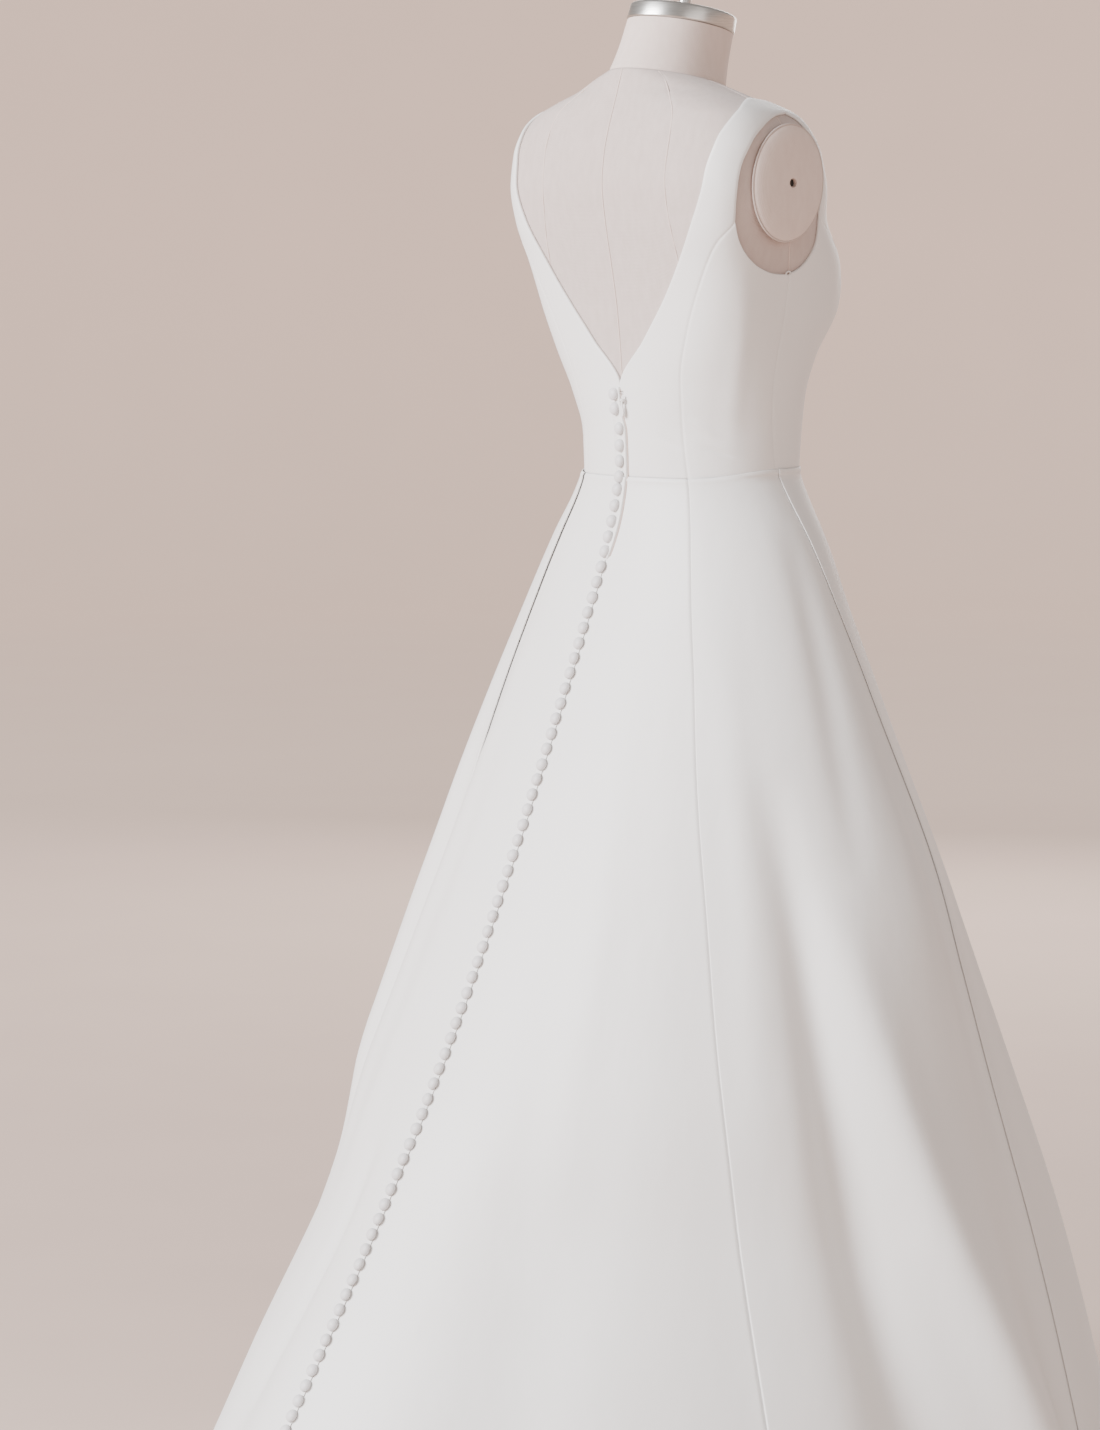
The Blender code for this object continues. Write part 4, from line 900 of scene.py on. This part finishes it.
def add_skirt(satin):
    for side in (-1, 1):
        for kind, low, high in SKIRT_PANELS:
            name = kind + "_" + side_word(side)
            outer = skirt_panel(side, low, high, PANEL_COLUMNS)
            inner = outer - SKIRT_WALL * grid_normals(outer, side)
            piece = cloth_shell(name + "_cloth", outer, inner, satin)
            dress(piece, "ivory satin", name)
    right = skirt_panel(-1, "side_pleat", "middle", FRONT_COLUMNS, FRONT_BUNCHING)
    left = skirt_panel(1, "side_pleat", "middle", FRONT_COLUMNS, FRONT_BUNCHING)
    outer = np.concatenate((right, left[:, -2::-1]), axis=1)
    inner = outer - SKIRT_WALL * grid_normals(outer, -1)
    piece = cloth_shell("skirt_front_cloth", outer, inner, satin)
    dress(piece, "ivory satin", "skirt_front")


# The closure down the centre back

def centre_back_line():
    """Distances, points and normals of the cloth's outer face down the centre back."""
    heights = np.linspace(V_POINT_Z - TURN_START, WAIST_Z + SEAM, 30)
    angle = np.zeros_like(heights)
    base = outward(torso_point, -1, angle, heights)
    points = gown_base(-1, angle, heights) + (EASE + BODICE_WALL) * base
    rows = skirt_rows()
    zero = np.zeros_like(rows)
    low, normals, _ = skirt_frame(1, zero, skirt_level(rows, zero))
    points, normals = np.concatenate((points, low)), np.concatenate((base, normals))
    points[:, 0] = 0.0
    normals[:, 0] = 0.0
    steps = np.linalg.norm(np.diff(points, axis=0), axis=1)
    return np.concatenate(([0.0], np.cumsum(steps))), points, unit(normals)


def line_place(line, distance):
    distances, points, normals = line
    point = np.array([np.interp(distance, distances, points[:, k]) for k in range(3)])
    normal = np.array([np.interp(distance, distances, normals[:, k]) for k in range(3)])
    return point, normal / np.linalg.norm(normal)


def button_points(line, distance, x, random):
    """Rings of one covered button, a little tilted."""
    point, normal = line_place(line, distance)
    across = np.array((1.0, 0.0, 0.0))
    down = np.cross(across, normal)
    tilt_x, tilt_y = random.uniform(-BUTTON_TILT, BUTTON_TILT, 2)
    normal = unit(normal + tilt_x * across + tilt_y * down)
    across = unit(across - normal * np.dot(across, normal))
    down = np.cross(across, normal)
    shift = random.uniform(-BUTTON_SHIFT, BUTTON_SHIFT, 2)
    foot = point + (SEAM + TAPE_THICK * 0.6) * normal + np.array((x + shift[0], 0, 0)) + down * shift[1]
    turns = np.arange(BUTTON_SIDES) * 2 * np.pi / BUTTON_SIDES
    rings = []
    for radius, height in BUTTON_PROFILE:
        ring = (np.cos(turns)[:, None] * across + np.sin(turns)[:, None] * down) * radius * BUTTON_RADIUS
        rings.append(foot + ring + normal * height * BUTTON_HEIGHT)
    return np.concatenate(rings), foot + normal * BUTTON_HEIGHT, foot - normal * TAPE_THICK * 0.3


def buttons_mesh(name, line, places, material, random):
    points, faces = [], []
    for distance, x in places:
        rings, tip, heel = button_points(line, distance, x, random)
        start = len(points)
        points.extend(rings)
        points.extend((tip, heel))
        rows = len(BUTTON_PROFILE)
        faces += grid_faces(rows, BUTTON_SIDES, start, wrap=True)
        last = start + (rows - 1) * BUTTON_SIDES
        for k in range(BUTTON_SIDES):
            n = (k + 1) % BUTTON_SIDES
            faces.append((last + k, last + n, start + rows * BUTTON_SIDES))
            faces.append((start + n, start + k, start + rows * BUTTON_SIDES + 1))
    made = new_object(name, points, faces, material)
    face_outward(made)
    return made


def strip_mesh(name, line, start, stop, left, right, bottom, top, material, step=0.004):
    """A tape along the centre back; LEFT and RIGHT give its edges at a distance."""
    stations = np.linspace(start, stop, max(2, int((stop - start) / step)))
    rings = []
    for distance in stations:
        point, normal = line_place(line, distance)
        a, b = right(distance), left(distance)
        middle = (bottom + top) / 2
        ring = [(a, bottom), (b, bottom), (b + 0.3 * (top - bottom), middle), (b, top), (a, top),
                (a - 0.3 * (top - bottom), middle)]
        rings.append([point + np.array((x, 0, 0)) + out * normal for x, out in ring])
    count = len(rings[0])
    points = np.array(rings).reshape(-1, 3)
    faces = grid_faces(len(rings), count, wrap=True)
    faces += [tuple(range(count))[::-1], tuple(range((len(rings) - 1) * count, len(rings) * count))]
    made = new_object(name, points, faces, material)
    face_outward(made)
    made.data.set_sharp_from_angle(angle=SHARP)
    return made


def add_lap(line, satin, inside):
    """The left back's folded edge, lapped over the zip, and the slit's inside seen beside it."""
    rows = np.array(LAP)
    stations = np.linspace(0.0, PLACKET_END, LAP_STEPS)
    outer, inner = [], []
    for distance in stations:
        point, normal = line_place(line, distance)
        left, right = (hermite(rows[:, 0], rows[:, k], distance) for k in (1, 2))
        end = min(1.0, (PLACKET_END - distance) / LAP_TAIL, (distance + LAP_HEAD) / LAP_HEAD)
        columns = [(right + inward / 1000, rise) for inward, rise in LAP_PROFILE
                   if right + inward / 1000 < left]
        columns += [(left, 0.0)] * (len(LAP_PROFILE) + 1 - len(columns))
        lifts = [(x, rise * end * LAP_RISE - LAP_SUNK) for x, rise in columns]
        outer.append([point + np.array((x, 0, 0)) + lift * normal for x, lift in lifts])
        inner.append([point + np.array((x + 0.0002, 0, 0)) + (lift - LAP_WALL) * normal for x, lift in lifts])
    piece = cloth_shell("back_lap_cloth", np.array(outer), np.array(inner), satin)

    def edge(offset):
        return lambda distance: float(hermite(rows[:, 0], rows[:, 2], distance)) + offset

    start, tail, left, right, bottom, top = SLIT
    # The strip in the slit takes the pinkish brown material, darkened with painted shade
    slit = strip_mesh("slit_inside", line, start, PLACKET_END - tail, edge(left), edge(right), bottom, top,
                      inside)
    return piece, slit


def add_back_closure(satin, button_satin_painted_darker, inside, steel):
    random = np.random.default_rng(7)
    line = centre_back_line()
    places = list(FIRST_BUTTONS)
    while places[-1][0] + BUTTON_PITCH < PLACKET_END:
        places.append((places[-1][0] + BUTTON_PITCH, 0.0))
    lap, slit = add_lap(line, satin, inside)
    buttons = buttons_mesh("placket_buttons", line, places, button_satin_painted_darker, random)
    dress(lap, "ivory satin", "back_placket")
    dress(slit, "covered buttons", "back_placket")
    dress(buttons, "covered buttons", "back_placket")
    first = places[-1][0] + BUTTON_PITCH
    end = line[0][-1] - TAPE_HEM
    start = PLACKET_END + SEAM
    for name in ("button_tape_upper", "button_tape_middle", "button_tape_train"):
        last = name == "button_tape_train"
        count = int((end - LAST_BUTTON - first) / BUTTON_PITCH) + 1 if last else TAPE_BUTTONS
        places = [(first + k * BUTTON_PITCH, 0.0) for k in range(count)]
        stop = end if last else places[-1][0] + BUTTON_PITCH / 2
        tape = strip_mesh(name + "_band", line, start, stop, lambda distance: TAPE_HALF,
                          lambda distance: -TAPE_HALF, SEAM, SEAM + TAPE_THICK * 0.7, satin)
        buttons = buttons_mesh(name + "_buttons", line, places, button_satin_painted_darker, random)
        dress(tape, "covered buttons", name)
        dress(buttons, "covered buttons", name)
        first = places[-1][0] + BUTTON_PITCH
        start = stop + SEAM
    add_hook(line, steel)


def wire(name, points, radius, material, closed=False):
    """A round wire along a smooth curve, as a mesh."""
    curve = bpy.data.curves.new(name, "CURVE")
    curve.dimensions = "3D"
    curve.bevel_depth = radius
    curve.bevel_resolution = 3
    curve.resolution_u = 6
    spline = curve.splines.new("NURBS")
    spline.points.add(len(points) - 1)
    for made, point in zip(spline.points, points):
        made.co = (*point, 1.0)
    spline.use_endpoint_u = not closed
    spline.use_cyclic_u = closed
    spline.order_u = 4
    holder = bpy.data.objects.new(name, curve)
    bpy.context.scene.collection.objects.link(holder)
    bpy.context.view_layer.update()
    mesh = bpy.data.meshes.new_from_object(holder.evaluated_get(bpy.context.evaluated_depsgraph_get()))
    bpy.data.objects.remove(holder, do_unlink=True)
    made = bpy.data.objects.new(name, mesh)
    mesh.materials.clear()
    mesh.materials.append(material)
    bpy.context.scene.collection.objects.link(made)
    mesh.shade_smooth()
    return made


def add_hook(line, steel):
    """Hook and eye that hold the two backs together at the V point."""
    point, normal = line_place(line, HOOK_PLACE)
    up = np.array((0.0, 0.0, 1.0))
    points = [point + np.array((x - 0.0005, 0, 0)) + z * up + HOOK_LIFT * normal for x, z in HOOK]
    piece = wire("hook_wire", points, HOOK_WIRE, steel)
    dress(piece, "brushed steel")


# The dress form

def add_torso(linen):
    rows = np.unique(np.concatenate((np.linspace(0.80, 1.30, 90), np.linspace(1.30, 1.4105, 60))))
    columns = np.linspace(0, 360, FORM_COLUMNS + 1)[:-1]
    side_angle = np.where(columns > 180, 360 - columns, columns)[None, :]
    z = rows[:, None]
    groove = np.zeros((len(rows), len(columns)))
    for name in FORM_SEAMS:
        away = (side_angle - seam_at(name, z)) * np.pi / 180 * SEAM_RADIUS
        groove = groove + FORM_GROOVE * np.exp(-(away / GROOVE_HALF) ** 2)
    right = torso_point(-1, side_angle, z)
    left = torso_point(1, side_angle, z)
    base = np.where((columns > 180)[None, :, None], left, right)
    shade_right = outward(torso_point, -1, side_angle, z + 0 * side_angle)
    shade_left = outward(torso_point, 1, side_angle, z + 0 * side_angle)
    normal = np.where((columns > 180)[None, :, None], shade_left, shade_right)
    points = (base - groove[..., None] * normal).reshape(-1, 3)
    faces = grid_faces(len(rows), len(columns), wrap=True)
    faces += [tuple(range(len(columns)))[::-1],
              tuple(range((len(rows) - 1) * len(columns), len(rows) * len(columns)))]
    piece = new_object("form_torso_cover", points, faces, linen)
    face_outward(piece)
    dress(piece, "form linen", "form_torso")


def add_form_seams(linen):
    """Fine raised lines where the form's cover is sewn together."""
    z = np.linspace(SEAM_LOW, SEAM_TOP, SEAM_STEPS)
    for name in FORM_SEAMS:
        for side in (-1,) if name in MIDDLE_SEAMS else (-1, 1):
            angle = seam_at(name, z)
            points = torso_point(side, angle, z) - SEAM_SUNK * outward(torso_point, side, angle, z)
            seam = wire("form_seam_" + name + "_" + side_word(side), points, SEAM_CORD, linen)
            dress(seam, "form linen")


def add_hanger_loops(satin):
    """A small loop at the foot of each armhole."""
    for side in (-1, 1):
        angle, z = np.array(HANGER_LOOP).T
        points = gown_base(side, angle, z) + LOOP_OUT * outward(gown_base, side, angle, z)
        loop = wire("hanger_loop_" + side_word(side), points, LOOP_CORD, satin)
        dress(loop, "ivory satin")


def seam_at(name, z):
    line = np.array(SEAM_LINES[name])
    return hermite(line[:, 0], line[:, 1], z)


def tilted_ring(centre, radius, tilt, sides):
    turns = np.arange(sides) * 2 * np.pi / sides
    x, y = radius * np.cos(turns), radius * np.sin(turns)
    return np.stack((centre[0] + x, centre[1] + y, centre[2] + y * tilt), axis=-1)


def ring_body(name, rings, material):
    count = len(rings[0])
    faces = grid_faces(len(rings), count, wrap=True)
    faces += [tuple(range(count))[::-1], tuple(range((len(rings) - 1) * count, len(rings) * count))]
    made = new_object(name, np.concatenate(rings), faces, material)
    face_outward(made)
    made.data.set_sharp_from_angle(angle=SHARP)
    return made


def add_neck(linen, steel):
    rows = np.array(NECK)
    rings = []
    for z in np.linspace(rows[0, 1], rows[-1, 1], NECK_RINGS):
        y, radius = hermite(rows[:, 1], rows[:, 0], z), hermite(rows[:, 1], rows[:, 2], z)
        groove = FORM_GROOVE * math.exp(-((z - rows[0, 1] - NECK_GROOVE_HALF) / NECK_GROOVE_HALF) ** 2)
        ring = tilted_ring((0, y, z), radius - groove, NECK_TILT, NECK_SIDES)
        turns = np.arange(NECK_SIDES) * 2 * np.pi / NECK_SIDES
        away = (turns - np.pi / 2) * radius / GROOVE_HALF
        ring[:, 1] -= FORM_GROOVE * np.exp(-away ** 2)
        rings.append(ring)
    # The linen passed in here is the copy painted lighter: painted light on the neck
    piece = ring_body("form_neck_cover", rings, linen)
    dress(piece, "form linen", "form_neck")
    y, z = NECK[-1][0], NECK[-1][1] + SEAM
    low, high = CAP_RADIUS
    profile = ((0.0, low - 0.0014), (0.0004, low - 0.0004), (0.0012, low), (0.0022, low + 0.0001),
               (CAP_HEIGHT - 0.0024, high + 0.0010), (CAP_HEIGHT - 0.0012, high + 0.0007),
               (CAP_HEIGHT - 0.0004, high - 0.0003), (CAP_HEIGHT, high - 0.0014),
               (CAP_HEIGHT - 0.0002, 0.032), (CAP_HEIGHT - 0.0009, 0.0312), (CAP_HEIGHT - 0.0009, 0.0300),
               (CAP_HEIGHT - 0.0002, 0.0292), (CAP_HEIGHT, 0.015))
    rings = [tilted_ring((0, y - CAP_LEAN * up / CAP_HEIGHT, z + up), radius, NECK_TILT, NECK_SIDES)
             for up, radius in profile]
    piece = ring_body("neck_cap_steel", rings, steel)
    dress(piece, "brushed steel", "neck_cap")


def plate_ring(side, out, share, count=PLATE_SIDES):
    turns = np.arange(count) * 2 * np.pi / count
    y, z = PLATE_HALF_Y * share * np.cos(turns), PLATE_HALF_Z * share * np.sin(turns)
    c, s = math.cos(PLATE_TURN), math.sin(PLATE_TURN)
    x = np.full(count, side * (ARM_PLANE_X + SEAM + out))
    return np.stack((x, PLATE_Y + y * c - z * s, PLATE_Z + y * s + z * c), axis=-1)


def add_arm_plates(linen, piping, dark):
    """Domed plates in linen with a piped edge and a small fixing hole, whose floor is painted black: painted
    shade for the inside of the hole.
    """
    rows = np.array(PLATE_DOME)
    path, places = np.linspace(0, len(rows) - 1, PLATE_RINGS), np.arange(len(rows))
    outs, shares = hermite(places, rows[:, 0], path), hermite(places, rows[:, 1], path)
    turns = np.arange(PLATE_SIDES) * 2 * np.pi / PLATE_SIDES
    for side in (-1, 1):
        rings = [plate_ring(side, out, share) for out, share in zip(outs, shares)]
        for out, wider in EYELET:
            radius = EYELET_RADIUS + wider
            x = np.full(PLATE_SIDES, side * (ARM_PLANE_X + SEAM + out))
            y, z = PLATE_Y + radius * np.cos(turns), PLATE_Z + radius * np.sin(turns)
            rings.append(np.stack((x, y, z), axis=-1))
        # The linen passed in here is the copy painted lighter: painted light on the plates
        piece = ring_body("arm_plate_cover_" + side_word(side), rings, linen)
        # The hole's floor gets the near-black material: painted shade
        piece.data.materials.append(dark)
        floor = max(piece.data.polygons, key=lambda face: face.index)
        floor.material_index = 1
        dress(piece, "form linen", "arm_plate_" + side_word(side))
        out, past, count = PIPING_PLACE
        edge = [tuple(point) for point in plate_ring(side, out, 1.0 + past / PLATE_HALF_Y, count)]
        cord = wire("arm_plate_piping_" + side_word(side), edge, PLATE_PIPING, piping, closed=True)
        dress(cord, "form linen")


def stage_material():
    """Pale floor that glows a little where the lamps no longer reach it."""
    made = plain_material("pale floor", FLOOR_COLOUR, 0.9)
    nodes, links = made.node_tree.nodes, made.node_tree.links
    shader = nodes["Principled BSDF"]
    shader.inputs["Emission Color"].default_value = (*FLOOR_COLOUR, 1.0)
    place = nodes.new("ShaderNodeNewGeometry")
    away = add_node(nodes, "ShaderNodeVectorMath", operation="LENGTH")
    near, far, strength = FLOOR_GLOW
    glow = add_node(nodes, "ShaderNodeMapRange", interpolation_type="SMOOTHSTEP", From_Min=near, From_Max=far,
                    To_Max=strength)
    links.new(place.outputs["Position"], away.inputs[0])
    links.new(away.outputs["Value"], glow.inputs["Value"])
    links.new(glow.outputs["Result"], shader.inputs["Emission Strength"])
    return made


def add_stage():
    """Plain pale floor that curves up all round, beyond every place it is looked at from."""
    profile = [(radius, 0.0) for radius in (*FLOOR_RINGS, STAGE_RADIUS)]
    for step in range(1, STAGE_STEPS + 1):
        turn = math.pi / 2 * step / STAGE_STEPS
        profile.append((STAGE_RADIUS + STAGE_BEND * math.sin(turn), STAGE_BEND * (1 - math.cos(turn))))
    profile.append((STAGE_RADIUS + STAGE_BEND, STAGE_HEIGHT))
    turns = np.arange(STAGE_SIDES) * 2 * np.pi / STAGE_SIDES
    rings = []
    for radius, height in profile:
        z = np.full(STAGE_SIDES, height + FLOOR_LIFT)
        rings.append(np.stack((radius * np.cos(turns), radius * np.sin(turns), z), axis=-1))
    faces = grid_faces(len(rings), STAGE_SIDES, wrap=True)
    stage = new_object("floor_and_backdrop", np.concatenate(rings), faces, stage_material())


def add_lights():
    for row in LAMPS:
        lamp = dict(zip(LAMP_COLUMNS, row))
        light = bpy.data.lights.new(lamp["name"], "AREA")
        light.shape = "RECTANGLE"
        light.size, light.size_y = lamp["size"]
        light.energy = lamp["power"]
        light.color = lamp["colour"]
        made = bpy.data.objects.new(lamp["name"], light)
        made.location = lamp["place"]
        toward = Vector(lamp["target"]) - Vector(lamp["place"])
        made.rotation_euler = toward.to_track_quat("-Z", "Y").to_euler()
        bpy.context.scene.collection.objects.link(made)
    world = bpy.data.worlds.new("studio")
    bpy.context.scene.world = world
    world.use_nodes = True
    world.node_tree.nodes["Background"].inputs["Color"].default_value = (*WORLD_COLOUR, 1.0)
    world.node_tree.nodes["Background"].inputs["Strength"].default_value = WORLD_STRENGTH


def add_camera():
    lens = bpy.data.cameras.new("camera")
    lens.lens = CAMERA_LENS
    lens.sensor_width = 36.0
    made = bpy.data.objects.new("camera", lens)
    made.location = CAMERA_PLACE
    made.rotation_euler = (math.pi / 2 - CAMERA_PITCH, 0, CAMERA_HEADING)
    bpy.context.scene.collection.objects.link(made)
    bpy.context.scene.camera = made


def give_material(frame, material, *nodes):
    for node in nodes:
        made = frame["nodes"][node]
        made.material_slots[0].material = material


def main():
    for old in list(bpy.data.objects):
        bpy.data.objects.remove(old, do_unlink=True)
    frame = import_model()
    add_camera()
    satin = satin_material("ivory satin", (0.80, 0.79, 0.775), (0.785, 0.772, 0.755), 0.48)
    # Pinkish brown of the strip seen in the slit: the form's colour, darkened with painted shade for the gap
    # under the lap
    inside = plain_material("slit inside, form colour with painted shade", (0.55, 0.42, 0.37), 0.8)
    # The gown's satin painted darker for the covered buttons: painted shade for the small domes
    buttons = satin_material("covered buttons", (0.68, 0.665, 0.67), (0.65, 0.635, 0.635), 0.45)
    linen = linen_material("form linen", (0.555, 0.465, 0.43), (0.505, 0.415, 0.38))
    # The same form linen painted lighter: painted light for the brighter neck and arm plates; the seam cords
    # use it too
    linen_painted_lighter = linen_material("form linen painted lighter for neck and plates", (0.72, 0.60, 0.545), (0.67, 0.55, 0.495))
    piping = plain_material("linen piping", (0.52, 0.43, 0.39), 0.85)
    # Near-black for the floor of the plates' fixing holes: painted shade for the dark inside the holes
    dark = plain_material("hole", (0.02, 0.018, 0.016), 0.6)
    steel = steel_material("brushed steel", (0.60, 0.58, 0.55), (1.0, 1.0, 14.0))
    enamel = enamel_material("white zip enamel", (0.78, 0.77, 0.76))
    add_bodice(satin)
    add_skirt(satin)
    add_back_closure(satin, buttons, inside, steel)
    add_torso(linen)
    add_form_seams(linen_painted_lighter)
    add_hanger_loops(satin)
    add_neck(linen_painted_lighter, steel)
    add_arm_plates(linen_painted_lighter, piping, dark)
    give_material(frame, steel, "neck_knob", "stand_pole", "stand_foot")
    give_material(frame, enamel, "zip_slider", "zip_pull_tab")
    add_stage()
    add_lights()


main()
